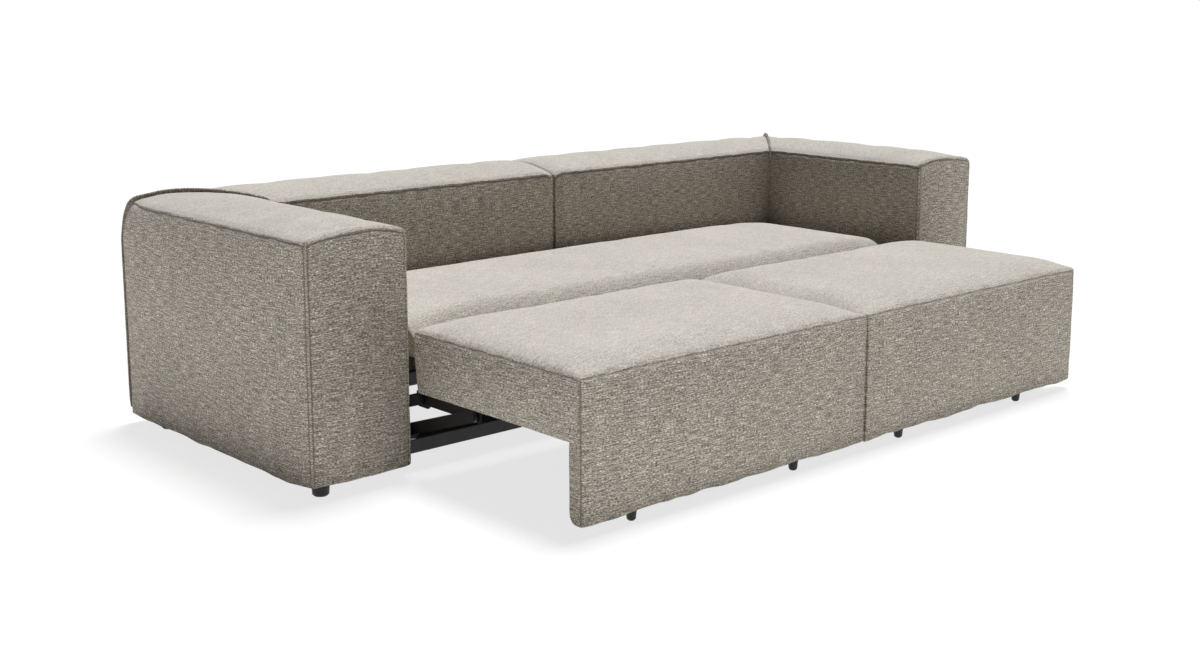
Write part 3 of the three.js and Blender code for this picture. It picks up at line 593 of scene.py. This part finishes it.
# Materials
class Nodes:
    """Adds nodes to a new material or world, and links them."""

    def __init__(self, name, kind="materials"):
        self.owner = getattr(bpy.data, kind).new(name)
        self.owner.use_nodes = True
        self.tree = self.owner.node_tree
        self.shader = self.tree.nodes.get("Principled BSDF")

    def add(self, kind, inputs=None, **settings):
        node = self.tree.nodes.new(kind)
        for key, value in settings.items():
            setattr(node, key, value)
        for key, value in (inputs or {}).items():
            self.set(node, key, value)
        return node

    def set(self, node, key, value):
        if isinstance(value, bpy.types.NodeSocket):
            self.tree.links.new(value, node.inputs[key])
        else:
            node.inputs[key].default_value = value

    def math(self, operation, *values, clamp=False):
        node = self.add("ShaderNodeMath", operation=operation, use_clamp=clamp)
        for index, value in enumerate(values):
            self.set(node, index, value)
        return node.outputs[0]

    def blend(self, factor, first, second, kind="MIX"):
        node = self.add("ShaderNodeMix", data_type="RGBA", blend_type=kind)
        self.set(node, 0, factor)
        self.set(node, 6, first)
        self.set(node, 7, second)
        return node.outputs[2]

    def total(self, *parts):
        """Adds up values, each times its share."""
        value = self.math("MULTIPLY", *parts[0])
        for part in parts[1:]:
            value = self.math("ADD", value, self.math("MULTIPLY", *part))
        return value

    def noise(self, place, scale, detail=2.0, roughness=0.5, dimensions="2D"):
        """A noise whose scale is one number, or one for each axis."""
        if isinstance(scale, tuple):
            place = self.add("ShaderNodeMapping", {"Vector": place, "Scale": scale}).outputs[0]
            scale = 1.0
        node = self.add(
            "ShaderNodeTexNoise",
            {"Vector": place, "Scale": scale, "Detail": detail, "Roughness": roughness},
            noise_dimensions=dimensions)
        return node.outputs["Fac"]

    def grain(self, scale, detail=2.0, roughness=0.5):
        """A solid noise that is fixed to the object."""
        place = self.add("ShaderNodeTexCoord").outputs["Object"]
        return self.noise(place, scale, detail, roughness, "3D")

    def attribute(self, name):
        return self.add("ShaderNodeAttribute", attribute_name=name).outputs["Fac"]

    def spread(self, value, low, high, to_low=0.0, to_high=1.0):
        """Carries values from low to high onto another range."""
        node = self.add("ShaderNodeMapRange", {
            "Value": value, "From Min": low, "From Max": high, "To Min": to_low,
            "To Max": to_high}, clamp=True)
        return node.outputs[0]

    def bump(self, height, strength, distance):
        """Bumps the surface by a height, in the shader's own normal."""
        node = self.add("ShaderNodeBump", {
            "Strength": strength, "Distance": distance, "Height": height})
        self.set(self.shader, "Normal", node.outputs[0])

    def surface(self, inputs):
        """Sets the shader's own sockets and returns the material."""
        for key, value in inputs.items():
            self.set(self.shader, key, value)
        return self.owner


# The cloth's yarns: their colours from the darkest to the palest, and the distances between them
YARN_COLOURS = [
    (0.0, (0.152, 0.134, 0.116)), (0.26, (0.268, 0.242, 0.208)), (0.5, (0.450, 0.419, 0.380)),
    (0.74, (0.608, 0.583, 0.549)), (1.0, (1.0, 1.0, 1.0))]
WEFT_PITCH = 0.0021
WARP_PITCH = 0.0026
# Painted light: faces that look up are evened out and kept pale, and the sides are tinted darker
# and warmer
PAINTED_TOP_EVENING = 0.58  # how far the yarns of a top are evened out
PAINTED_TOP_TONE = 0.52  # and the tone that they are evened out to
SIDE_SHADE_TINT = (1.0, 0.949, 0.871, 1)
# painted shade: the colour that seam grooves, gaps and flange sides are darkened towards
CREASE_SHADE_COLOUR = (0.10, 0.083, 0.064, 1)


def yarn_colour(n, tone):
    ramp = n.add("ShaderNodeValToRGB", {"Fac": tone})
    elements = ramp.color_ramp.elements
    elements.remove(elements[1])
    for index, (position, colour) in enumerate(YARN_COLOURS):
        stop = elements.new(position) if index else elements[0]
        stop.color = (*colour, 1)
    return ramp.outputs[0]


def fabric_material():
    """A melange weave: mixed light and dark yarns, slubs along the weft, and a fine plain weave."""
    n = Nodes("woven_fabric")
    place = n.add("ShaderNodeUVMap", uv_map="Weave").outputs[0]
    slub = n.noise(place, (140, 470, 1), 1.0)
    streak = n.noise(place, (24, 340, 1), 1.0)
    fleck = n.noise(place, (500, 800, 1), 0.0)
    warp = n.noise(place, (560, 80, 1), 1.0)
    tone = n.total((slub, 0.46), (fleck, 0.10), (streak, 0.28), (warp, 0.16))
    # painted light on tops and painted shade on sides, by how far each point faces up
    painted_top_light = n.attribute("painted_top_light")
    evening = n.math("SUBTRACT", 1.0, n.math("MULTIPLY", painted_top_light, PAINTED_TOP_EVENING))
    tone = n.total((n.spread(tone, 0.362, 0.645), evening), (painted_top_light, PAINTED_TOP_EVENING * PAINTED_TOP_TONE))
    cool = n.spread(n.noise(place, (14, 30, 1)), 0.45, 0.7, 0.0, 0.5)
    colour = n.blend(cool, yarn_colour(n, tone), (0.93, 1.0, 0.98, 1), "MULTIPLY")
    colour = n.blend(n.math("SUBTRACT", 1.0, painted_top_light), colour, SIDE_SHADE_TINT, "MULTIPLY")
    cloud = n.spread(n.noise(place, 5.0, 3.0, 0.55), 0.3, 0.7, 0.955, 1.04)
    colour = n.blend(1.0, colour, cloud, "MULTIPLY")
    # Painted shade: the colour is darkened in seam grooves, in gaps and down the flange sides
    crease_shade = n.math("MULTIPLY", n.attribute("crease_shade"), 0.6)
    split = n.add("ShaderNodeSeparateXYZ", {"Vector": place})
    weft = n.math("SINE", n.math("MULTIPLY", split.outputs[1], 2 * math.pi / WEFT_PITCH))
    yarn = n.math("SINE", n.math("MULTIPLY", split.outputs[0], 2 * math.pi / WARP_PITCH))
    relief = n.total((n.math("MULTIPLY", weft, yarn), 0.10), (slub, 0.8), (fleck, 0.5))
    n.bump(relief, 0.55, 0.0016)
    return n.surface({
        "Base Color": n.blend(crease_shade, colour, CREASE_SHADE_COLOUR), "Roughness": 0.92,
        "Specular IOR Level": 0.22, "Sheen Weight": 0.12, "Sheen Roughness": 0.45})


def thread_material():
    n = Nodes("stitch_thread")
    twist = n.spread(n.grain(900.0, 1.0), 0.35, 0.65)
    colour = n.blend(twist, (0.17, 0.15, 0.125, 1), (0.44, 0.41, 0.36, 1))
    return n.surface({"Base Color": colour, "Roughness": 0.8})


def steel_material():
    """Satin black powder coat, with a fine orange-peel skin and a little dust on top."""
    n = Nodes("black_powder_coat")
    patch = n.grain(14.0, 3.0, 0.6)
    dust = n.spread(patch, 0.35, 0.7)
    n.bump(n.grain(620.0), 0.25, 0.0004)
    return n.surface({
        "Base Color": n.blend(dust, (0.004, 0.004, 0.0045, 1), (0.009, 0.009, 0.010, 1)),
        "Roughness": n.spread(patch, 0.3, 0.7, 0.3, 0.46), "Specular IOR Level": 0.5})


def zinc_material():
    n = Nodes("bright_zinc")
    brushed = n.grain((600, 60, 200))
    patch = n.spread(n.grain(60.0, 3.0, 0.6), 0.35, 0.65)
    return n.surface({
        "Base Color": n.blend(patch, (0.62, 0.63, 0.64, 1), (0.80, 0.80, 0.79, 1)),
        "Metallic": 1.0, "Roughness": n.spread(brushed, 0.3, 0.7, 0.2, 0.38)})


def plastic_material():
    n = Nodes("black_moulded_plastic")
    scuff = n.spread(n.grain(90.0, 3.0, 0.6), 0.4, 0.75)
    colour = n.blend(scuff, (0.010, 0.010, 0.010, 1), (0.028, 0.027, 0.026, 1))
    n.bump(n.grain(1500.0), 0.2, 0.0002)
    return n.surface({"Base Color": colour, "Roughness": 0.42})


def timber_material():
    """Pale softwood and plywood: long grain along X with thin darker rings."""
    n = Nodes("pale_timber")
    rings = n.math("SINE", n.math("MULTIPLY", n.grain((1.2, 14, 14)), 90.0))
    fibre = n.grain((25, 900, 900), 2.0, 0.6)
    tone = n.total((n.spread(rings, -1.0, 1.0), 0.45), (fibre, 0.55))
    colour = n.blend(n.spread(tone, 0.2, 0.8), (0.63, 0.44, 0.25, 1), (0.80, 0.65, 0.44, 1))
    n.bump(fibre, 0.2, 0.0005)
    return n.surface({"Base Color": colour, "Roughness": 0.7})


def shade_board_material():
    """The boards below the cushions in near-black brown, with a fine fibre grain: painted shade, so
    that the gaps round the cushions read dark.
    """
    n = Nodes("painted_shade_board")
    fibre = n.grain((20, 500, 500), 2.0, 0.6)
    colour = n.blend(
        n.spread(fibre, 0.3, 0.7), (0.020, 0.014, 0.010, 1), (0.045, 0.032, 0.023, 1))
    n.bump(fibre, 0.15, 0.0004)
    return n.surface({"Base Color": colour, "Roughness": 0.55})


FABRIC = fabric_material()
THREAD = thread_material()


# Places that the frame gives
arm_board_low, arm_board_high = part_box("right_arm_base_board")
back_board_low, back_board_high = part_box("right_back_base_board")
ARM_FACE = arm_board_low.x - COVER_OVER_BOARD
HALF_WIDTH = arm_board_high.x + COVER_OVER_BOARD
ARM_FRONT = arm_board_low.y - COVER_OVER_BOARD
BACK_FRONT = back_board_low.y - COVER_OVER_BOARD
BACK_REAR = back_board_high.y + COVER_OVER_BOARD
BODY_BOTTOM = arm_board_low.z
ARM_WIDTH = HALF_WIDTH - ARM_FACE
BACK_DEPTH = BACK_REAR - BACK_FRONT
MITRE_SLOPE = ARM_WIDTH / BACK_DEPTH


def plan_point(plan, a, b):
    s, t = (a + 1) / 2, (b + 1) / 2
    return [mix(mix(plan[0][i], plan[1][i], s), mix(plan[3][i], plan[2][i], s), t)
            for i in range(2)]


def lower_edge(a, from_front, hem):
    """Height that an arm's lower edge gains: front corners gathered up and a hem that wanders."""
    corner = np.hypot((1 - np.abs(a)) * ARM_WIDTH / 2, from_front)
    tuck = CORNER_TUCK * np.exp(-(corner / CORNER_TUCK_REACH) ** 1.6)
    outer = OUTER_HEM_DROP * np.clip(a, 0, 1) ** 2 * (1 - bump_at(from_front, OUTER_HEM_REACH))
    return tuck * np.where(a > 0, 1, 0.5) + hem - outer


def hollow(a, b, half_a, half_b):
    """How far the underside is hollowed inside the hem."""
    inside = np.minimum((1 - np.abs(a)) * half_a, (1 - np.abs(b)) * half_b)
    return RECESS_DEPTH * smooth((inside - HEM_WIDTH) / 0.0025)


def drawn_in(x, y, z):
    """Draws the upper rear corners in, alike for the arm, the back and the flange between them."""
    length = math.hypot(ARM_WIDTH, BACK_DEPTH)
    for side in SIDES.values():
        away = np.hypot(x - side * HALF_WIDTH, y - BACK_REAR)
        rise = np.clip(1 - (SEAM_HEIGHT - z) / REAR_CORNER_FALL, 0, 1.1) ** 2
        pull = REAR_CORNER_PULL * rise * bump_at(away, REAR_CORNER_REACH)
        x = x - side * pull * ARM_WIDTH / length
        y = y - pull * BACK_DEPTH / length
    return x, y, z


# Arms and backs
def arm_block(side):
    plan = [(side * ARM_FACE, ARM_FRONT), (side * HALF_WIDTH, ARM_FRONT),
            (side * HALF_WIDTH, BACK_REAR - HALF_PLAY),
            (side * ARM_FACE, BACK_FRONT - HALF_PLAY / MITRE_SLOPE)]
    length = BACK_REAR - ARM_FRONT
    size = (ARM_WIDTH, length, SEAM_HEIGHT - BODY_BOTTOM)

    def place(a, b, c):
        x, y = plan_point(plan, a, b)
        from_front = (b + 1) / 2 * length
        full = smooth(from_front / CROWN_RUN_OUT)
        grown = mix(ARM_FRONT_CROWN_SHARE, 1, full)
        up = (c + 1) / 2
        lean = 1 - ARM_FRONT_LEAN * a * (1 - full)
        crown = BODY_CROWN * (1 - a ** 2) * grown * up * lean
        sideways = np.abs(a) * face_swell(b, c, np.where(a > 0, OUTER_SWELL, INNER_SWELL))
        forwards = np.where(b < 0, -b * face_swell(a, c, OUTER_SWELL), 0)
        hem = 0.0022 * wander(from_front + a * ARM_WIDTH / 2, 0.42, 3 + side) * (1 - up) ** 6
        floor = lower_edge(a, from_front, hem) + hollow(a, b, ARM_WIDTH / 2, length / 2)
        z = mix(BODY_BOTTOM - HEM_DROP + floor, SEAM_HEIGHT, up) + crown
        return drawn_in(x + side * np.sign(a) * sideways, y - forwards, z)

    return Block(f"{WORDS[side]}_arm_upholstery", size, ARM_RADII, place, side < 0)


def back_block(side):
    play = HALF_PLAY
    plan = [(side * (ARM_FACE - play), BACK_FRONT), (side * play, BACK_FRONT),
            (side * play, BACK_REAR), (side * (HALF_WIDTH - play * MITRE_SLOPE - play), BACK_REAR)]
    size = (HALF_WIDTH, BACK_DEPTH, SEAM_HEIGHT - BODY_BOTTOM)

    def place(a, b, c):
        x, y = plan_point(plan, a, b)
        from_split = (1 - a) / 2 * HALF_WIDTH
        grown = mix(BACK_SPLIT_CROWN_SHARE, 1, smooth(from_split / CROWN_RUN_OUT))
        up = (c + 1) / 2
        crown = BODY_CROWN * (1 - b ** 2) * grown * up
        sunk = BACK_SPLIT_SAG + BACK_SPLIT_FRONT_SAG * smooth((0.4 - b) / 1.4)
        crown = crown - sunk * np.clip(1 - from_split / BACK_SPLIT_REACH, 0, 1) ** 2 * up
        swell = np.abs(b) * face_swell(a, c, np.where(b > 0, OUTER_SWELL, INNER_SWELL))
        hem = 0.002 * wander(from_split + b * BACK_DEPTH / 2, 0.45, 9 + side) * (1 - up) ** 6
        outer = OUTER_HEM_DROP * np.clip(b, 0, 1) ** 2
        floor = hem - outer + hollow(a, b, HALF_WIDTH / 2, BACK_DEPTH / 2)
        z = mix(BODY_BOTTOM - HEM_DROP + floor, SEAM_HEIGHT, up) + crown
        return drawn_in(x, y + np.sign(b) * swell, z)

    return Block(f"{WORDS[side]}_back_upholstery", size, BACK_RADII, place, side > 0)


# Seats and strip
def seat_block(side):
    """A seat cushion with its apron: one L-shaped cover, hollow below for the seat frame."""
    board_low, board_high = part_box(f"{WORDS[side]}_seat_board")
    apron_low, apron_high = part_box(f"{WORDS[side]}_seat_apron")
    inner, outer = sorted((abs(apron_low.x), abs(apron_high.x)))
    front = board_low.y - SEAT_WALL
    rear = board_high.y + SEAT_REAR_UNDERCUT + SEAT_REAR_PLAY
    bottom = apron_low.z
    apron_depth, joint_height = apron_high.y - front, apron_high.z - bottom
    pocket = board_high.z + SEAT_POCKET_PLAY - apron_high.z
    size = (outer - inner, rear - front, SEAT_SEAM_HEIGHT - bottom)

    def place(a, b, c):
        across, along = (a + 1) / 2 * size[0], (b + 1) / 2 * size[1]
        height = (c + 1) / 2 * size[2]
        up = np.clip((height - joint_height) / (size[2] - joint_height), 0, 1)
        from_wall = np.minimum(np.minimum(size[0] - across, along),
                               size[1] - along - SEAT_REAR_UNDERCUT)
        floor = pocket * smooth((from_wall - SEAT_WALL + 0.004) / 0.003) * (1 - up)
        hem = 0.003 * wander(across, 0.34, 13 + side) * (1 - height / size[2]) ** 5
        behind = height < joint_height - TINY
        z = bottom + height + np.where(behind, hem * (1 - height / joint_height), floor)
        z = z - SEAT_HEM_DROP * np.clip(1 - height / joint_height, 0, 1)
        z = z + SEAT_CROWN * up * risen(across, size[0], SEAT_CROWN_RISE) * risen(
            along, size[1], SEAT_CROWN_RISE)
        z = z - SEAT_SPLIT_SAG * up * np.exp(-across / SEAT_SPLIT_REACH) * (1 - b ** 8)
        bulge = face_swell(a, c, SEAT_FRONT_SWELL) * np.clip(1 - along / 0.04, 0, 1)
        undercut = SEAT_REAR_UNDERCUT * (1 - up) ** 2 - face_swell(a, up, SEAT_REAR_SWELL) * up
        low = np.clip(APRON_REAR_RADIUS - height, 0, APRON_REAR_RADIUS)
        arc = APRON_REAR_RADIUS - np.sqrt(APRON_REAR_RADIUS ** 2 - low ** 2)
        ahead = np.where(behind, arc * along / apron_depth,
                         undercut * smooth((along / size[1] - 0.8) / 0.2))
        sideways = np.where(a > 0, a * face_swell(b, 2 * up - 1, SEAT_SIDE_SWELL) * (up > 0), 0)
        return side * (inner + across + sideways), front + along - bulge - ahead, z

    notch = (apron_depth, joint_height)
    return Block(f"{WORDS[side]}_seat_upholstery", size, SEAT_RADII, place, side < 0, notch)


def strip_block():
    low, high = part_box("strip_cushion")
    size = (high.x - low.x, high.y - low.y, STRIP_SEAM_HEIGHT - low.z)

    def place(a, b, c):
        y = mix(low.y, high.y, (b + 1) / 2)
        roll = np.maximum(0, 1 - (y - low.y) / STRIP_ROLL_DEPTH)
        fall = roll ** STRIP_ROLL_POWER
        drop = STRIP_ROLL_DROP * fall + STRIP_END_DROP * a ** 8 * (1 - fall)
        crown = STRIP_CROWN * (1 - roll) * risen((a + 1) / 2 * size[0], size[0], STRIP_CROWN_RISE)
        crown = crown * (1 - np.exp(-np.clip(high.y - y, 0, 1) / STRIP_CROWN_RISE))
        top = STRIP_SEAM_HEIGHT + crown - drop
        return a * high.x, y, mix(low.z, top, (c + 1) / 2)

    block = Block("strip_upholstery", size, STRIP_RADII, place, False)
    over = np.linspace(0, size[1], 200)
    _, ahead, height = place(np.zeros(200), 2 * over / size[1] - 1, np.ones(200))
    run = np.concatenate([[0], np.cumsum(np.hypot(np.diff(ahead), np.diff(height)))])
    block.unrolled = lambda places: np.interp(places, over, run)
    return block


# Seams and stitches of each kind of block, as edges between two sides
X_LOW, X_HIGH, Y_LOW, Y_HIGH, Z_LOW, Z_HIGH = [
    (axis, end) for axis in range(3) for end in (-1, 1)]
ARM_SEAMS = [
    ((Y_LOW, X_HIGH), "welt"), ((Y_LOW, X_LOW), "welt"), ((Y_LOW, Z_HIGH), "slight"),
    ((X_HIGH, Z_HIGH), "slight"), ((X_LOW, Z_HIGH), "soft")]
BACK_SEAMS = [
    ((X_HIGH, Y_LOW), "split"), ((X_HIGH, Z_HIGH), "faint"), ((X_HIGH, Y_HIGH), "split"),
    ((Y_LOW, Z_HIGH), "soft"), ((Y_HIGH, Z_HIGH), "slight")]
SEAT_SEAMS = [
    ((Y_LOW, Z_HIGH), "faint"), ((Y_HIGH, Z_HIGH), "faint"), ((X_LOW, Z_HIGH), "faint"),
    ((X_HIGH, Z_HIGH), "faint"), ((Y_LOW, X_LOW), "plain"), ((Y_LOW, X_HIGH), "plain")]
STRIP_EDGES = [(Y_HIGH, Z_HIGH), (X_LOW, Z_HIGH), (X_HIGH, Z_HIGH)]
STRIP_SEAMS = [(edge, "faint") for edge in STRIP_EDGES]


def sewn(from_edge, *edges):
    """Rows of stitches that lie on the first side of each edge."""
    return [(edge, from_edge) for edge in edges]


ARM_ROWS = (
    sewn(SEAM_ROW, (X_HIGH, Y_LOW), (Y_LOW, X_HIGH), (X_LOW, Y_LOW), (Y_LOW, X_LOW))
    + sewn(TOP_ROW, (X_HIGH, Z_HIGH), (X_LOW, Z_HIGH), (Y_LOW, Z_HIGH))
    + sewn(HEM_ROW, (X_HIGH, Z_LOW), (X_LOW, Z_LOW), (Y_LOW, Z_LOW)))
BACK_ROWS = (
    sewn(SEAM_ROW, (Y_LOW, X_HIGH), (Z_HIGH, X_HIGH), (Y_HIGH, X_HIGH))
    + sewn(TOP_ROW, (Y_LOW, Z_HIGH), (Y_HIGH, Z_HIGH)) + sewn(HEM_ROW, (Y_HIGH, Z_LOW)))
SEAT_ROWS = (
    sewn(SEAT_ROW, (Y_LOW, Z_HIGH), (Y_HIGH, Z_HIGH), (X_LOW, Z_HIGH), (X_HIGH, Z_HIGH))
    + sewn(APRON_ROW, (X_LOW, Y_LOW), (X_HIGH, Y_LOW)) + sewn(HEM_ROW, (Y_LOW, Z_LOW)))
STRIP_ROWS = sewn(TOP_ROW, *STRIP_EDGES)


WEAVE_OFFSET = 1.37  # gives each cover its own stretch of cloth


class Cover:
    """One upholstered piece: its block, seams, stitches, the CAD nodes it stands for, its body."""

    def __init__(self, block, nodes, body, seams, rows, also, fill, cap=CLOTH_CAP):
        self.block, self.nodes, self.body = block, nodes, body
        self.seams, self.rows, self.fill = seams, rows, fill
        self.fitting = Fitting(block, seams, also, cap)

    def finish(self, number, swelling):
        block = self.block
        points = block.placed(block.rounded()) + swelling
        relief, crease_shade = seam_relief(block, self.seams)
        points = points + normals_of(points, block.quads) * relief[:, None]
        obj = mesh_object(block.name, points, block.quads)
        weave_map(obj, block.weave_places() + WEAVE_OFFSET * number)
        upward = normals_of(points, block.quads)[:, 2]
        # painted shade in the seams' grooves and gaps
        point_values(obj, "crease_shade", crease_shade)
        # painted light: how far each point faces up, for even, pale tops and darker, warmer sides
        point_values(obj, "painted_top_light", smooth((upward - 0.15) / 0.75))
        obj.data.materials.append(FABRIC)
        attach(obj, self.body)
        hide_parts(*self.nodes)
        stitches(f"{block.name}_stitches", block, points, self.rows, self.body)


covers = []
for word, side in SIDES.items():
    covers.append(Cover(
        arm_block(side), [f"{word}_arm_cover"], "base", ARM_SEAMS, ARM_ROWS, [Y_HIGH], 0.85))
    covers.append(Cover(
        back_block(side), [f"{word}_back_cover"], "base", BACK_SEAMS, BACK_ROWS, [X_LOW], 0.85))
    covers.append(Cover(
        seat_block(side), [f"{word}_seat_cushion", f"{word}_seat_apron"], "seats", SEAT_SEAMS,
        SEAT_ROWS, [], 0.8, FIRM_CLOTH_CAP))
covers.append(Cover(
    strip_block(), ["strip_cushion"], "strip", STRIP_SEAMS, STRIP_ROWS, [Y_LOW],
    0.8, FIRM_CLOTH_CAP))

fittings = [cover.fitting for cover in covers if cover.fitting]
swellings = fit_all(fittings) if fittings else [0] * len(covers)
for number, (cover, swelling) in enumerate(zip(covers, swellings)):
    cover.finish(number, swelling)


# Flange seams: a stitched fin along each mitre, up the inner corner, over the crown and down behind
FIN_HEIGHT = 0.0115
FIN_LOW_HEIGHT = 0.0045  # its height below the seam height
FIN_THICKNESS = 0.009
FIN_TURN = 0.016  # radius of its bends
FIN_SECTION = [(-0.5, -0.9), (-0.5, 0.2), (-0.46, 0.72), (-0.2, 0.98), (0.2, 0.98), (0.46, 0.72),
               (0.5, 0.2), (0.5, -0.9)]  # shares of its thickness and height
# painted shade: how dark each point of the fin's section is, darkest down its sides
FIN_SIDE_SHADES = [1, 1, 0.9, 0.35, 0.35, 0.9, 1, 1]
FIN_STITCH_SHARE = 0.8
FIN_STITCH_SLANT = 0.45
UP = (0, 0, 1)


def flange_path(side):
    """Points, outward directions and heights along the mitre, from the inner corner over the crown
    to the outer corner."""
    inner = np.array([side * (ARM_FACE - 0.0006), BACK_FRONT - 0.0006, 0])
    outer = np.array([side * HALF_WIDTH, BACK_REAR, 0])
    length = np.linalg.norm(outer - inner)
    across = (outer - inner) / length
    turn, bend_height = FIN_TURN, SEAM_HEIGHT - FIN_TURN
    rise = np.arange(BODY_BOTTOM + 0.004, bend_height, 0.01)
    bend = [(math.cos(t), math.sin(t)) for t in np.linspace(0, math.pi / 2, 7)[:-1]]
    over = np.linspace(turn, length - turn, 57)
    rows = [(0, z, -1, 0) for z in rise]
    rows += [(turn * (1 - c), bend_height + turn * s, -c, s) for c, s in bend]
    rows += [(reach, SEAM_HEIGHT, 0, 1) for reach in over]
    rows += [(length - turn * (1 - s), bend_height + turn * c, s, c) for c, s in bend[1:]]
    rows += [(length, z, 1, 0) for z in rise[::-1]]
    reach, z, out, up = np.array(rows).T
    crown = BODY_CROWN * (1 - (2 * reach / length - 1) ** 2) * (z > bend_height)
    points = inner + np.outer(reach, across) + np.outer(z + crown, UP)
    outward = np.outer(out, across) + np.outer(up, UP)
    height = mix(FIN_LOW_HEIGHT, FIN_HEIGHT, smooth((z - SEAM_HEIGHT + 0.09) / 0.08))
    height *= smooth((z - BODY_BOTTOM) / 0.03) * 0.8 + 0.2
    return points, outward, height


def flange_stitches(name, travelled, *rows):
    """Stitches across a flange. The rows are its points, its forward, sideways and outward
    directions and its heights."""
    points, quads = [], []
    for reached in np.arange(STITCH_PITCH, travelled[-1], STITCH_PITCH):
        middle, along, across, up, tall = [
            np.array([np.interp(reached, travelled, column) for column in row.T]) for row in rows]
        lay_stitch(points, quads, Vector(middle + up * tall),
                   Vector(across + FIN_STITCH_SLANT * along), Vector(up).normalized(),
                   FIN_STITCH_SHARE * FIN_THICKNESS)
    stitch_object(name, points, quads, "base")


def flange(side):
    points, outward, height = flange_path(side)
    points = np.stack(drawn_in(*points.T), axis=1)
    forward = unit(np.gradient(points, axis=0))
    sideways = unit(np.cross(forward, outward))
    travelled = np.concatenate([[0], np.cumsum(np.linalg.norm(np.diff(points, axis=0), axis=1))])
    lean = 0.0009 * wander(travelled, 0.06, 41 + side)
    rings = np.stack([
        points + sideways * (u * FIN_THICKNESS + lean * (v > 0))[:, None]
        + outward * (v * height)[:, None] for u, v in FIN_SECTION], axis=1)
    count, sides = rings.shape[:2]
    quads = np.array(tube_quads(count, sides))[:, [0, 3, 2, 1]]
    name = f"{WORDS[side]}_mitre_flange"
    obj = mesh_object(name, rings.reshape(-1, 3), quads)
    along = np.repeat(travelled, sides)[quads]
    around = np.tile(np.linspace(0, 0.03, sides), count)[quads]
    weave_map(obj, np.stack([around + 5, along], axis=-1))
    # painted shade down the fin's sides
    point_values(obj, "crease_shade", FIN_SIDE_SHADES * count)
    obj.data.materials.append(FABRIC)
    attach(obj, "base")
    flange_stitches(
        f"{name}_stitches", travelled, points, forward, sideways, outward, height[:, None])


for side in SIDES.values():
    flange(side)


# The steel, timber and plastic pieces keep their solids and get their finish and softened edges
FINISHES = {
    "black_steel": (steel_material(), 0.0007), "zinc_plate": (zinc_material(), 0.0003),
    "black_plastic": (plastic_material(), 0.003), "timber": (timber_material(), 0.0006)}
HIDDEN_BOARDS = ("seat_board", "apron_board", "strip_board")
SHADE_BOARD = shade_board_material()
slot_of = {row["node"]: row["material_slot"] for row in frame["record"]["subparts"]}
for name, node in frame["nodes"].items():
    if slot_of[name] not in FINISHES:
        continue
    material, edge = FINISHES[slot_of[name]]
    # the boards below the cushions get painted shade
    if name.endswith(HIDDEN_BOARDS):
        material = SHADE_BOARD
    node.data.materials.clear()
    node.data.materials.append(material)
    bevel = node.modifiers.new("Softened edges", "BEVEL")
    bevel.width = edge
    bevel.segments = 2
    bevel.limit_method = "ANGLE"
    bevel.angle_limit = math.radians(38)
    bevel.harden_normals = True


# Floor and light
FLOOR_HALF_WIDTH = 14.0
FLOOR_REAR = 9.0
FLOOR_SHADOW = 0.2  # how much of the light on the floor is shown, so that a shadow stays
FLOOR_GLOW = 0.76
WORLD_STRENGTH = 0.045
SUN_STRENGTH = 4.55
SUN_WIDTH = math.radians(20)
SUN_FROM = (0.26, 0.12, 1)


def shows_ground(n):
    """1 for the rays that show the white ground: to the camera, in metal and through glass."""
    path = n.add("ShaderNodeLightPath").outputs
    seen = n.math("MAXIMUM", path["Is Camera Ray"], path["Is Glossy Ray"])
    return n.math("MAXIMUM", seen, path["Is Transmission Ray"])


def floor():
    wide, rear = FLOOR_HALF_WIDTH, FLOOR_REAR
    corners = [(-wide, -wide, 0), (wide, -wide, 0), (wide, rear, 0), (-wide, rear, 0)]
    obj = mesh_object("floor", corners, [(0, 1, 2, 3)], False)
    n = Nodes("white_floor")
    shown = n.add("ShaderNodeBsdfDiffuse", {"Color": (FLOOR_SHADOW,) * 3 + (1,)})
    glow = n.add("ShaderNodeEmission", {"Strength": FLOOR_GLOW})
    pale = n.add("ShaderNodeAddShader", {0: shown.outputs[0], 1: glow.outputs[0]})
    both = n.add("ShaderNodeMixShader", {
        0: shows_ground(n), 1: n.shader.outputs[0], 2: pale.outputs[0]})
    n.set(n.tree.nodes["Material Output"], "Surface", both.outputs[0])
    obj.data.materials.append(n.surface({
        "Base Color": (0.97, 0.97, 0.97, 1), "Roughness": 0.95, "Specular IOR Level": 0.1}))


def world():
    n = Nodes("studio", "worlds")
    bpy.context.scene.world = n.owner
    background = n.tree.nodes["Background"]
    n.set(background, "Color", (1, 1, 1, 1))
    n.set(background, "Strength", n.spread(shows_ground(n), 0.0, 1.0, WORLD_STRENGTH, 1.0))


def sun():
    data = bpy.data.lights.new("overhead_light", "SUN")
    data.energy = SUN_STRENGTH
    data.angle = SUN_WIDTH
    obj = bpy.data.objects.new("overhead_light", data)
    obj.rotation_euler = Vector(SUN_FROM).to_track_quat("Z", "Y").to_euler()
    bpy.context.scene.collection.objects.link(obj)


floor()
world()
sun()


# Camera
def camera():
    data = bpy.data.cameras.new("photo_view")
    data.sensor_width = SENSOR_WIDTH
    data.lens = FOCAL_PIXELS / IMAGE_WIDTH * SENSOR_WIDTH
    data.shift_y = SHIFT_Y
    data.clip_end = 60
    obj = bpy.data.objects.new("photo_view", data)
    obj.location = CAMERA_PLACE
    obj.rotation_euler = (math.pi / 2 - CAMERA_PITCH, 0, -CAMERA_YAW)
    bpy.context.scene.collection.objects.link(obj)
    bpy.context.scene.camera = obj


camera()
bpy.context.scene.view_settings.view_transform = "Standard"
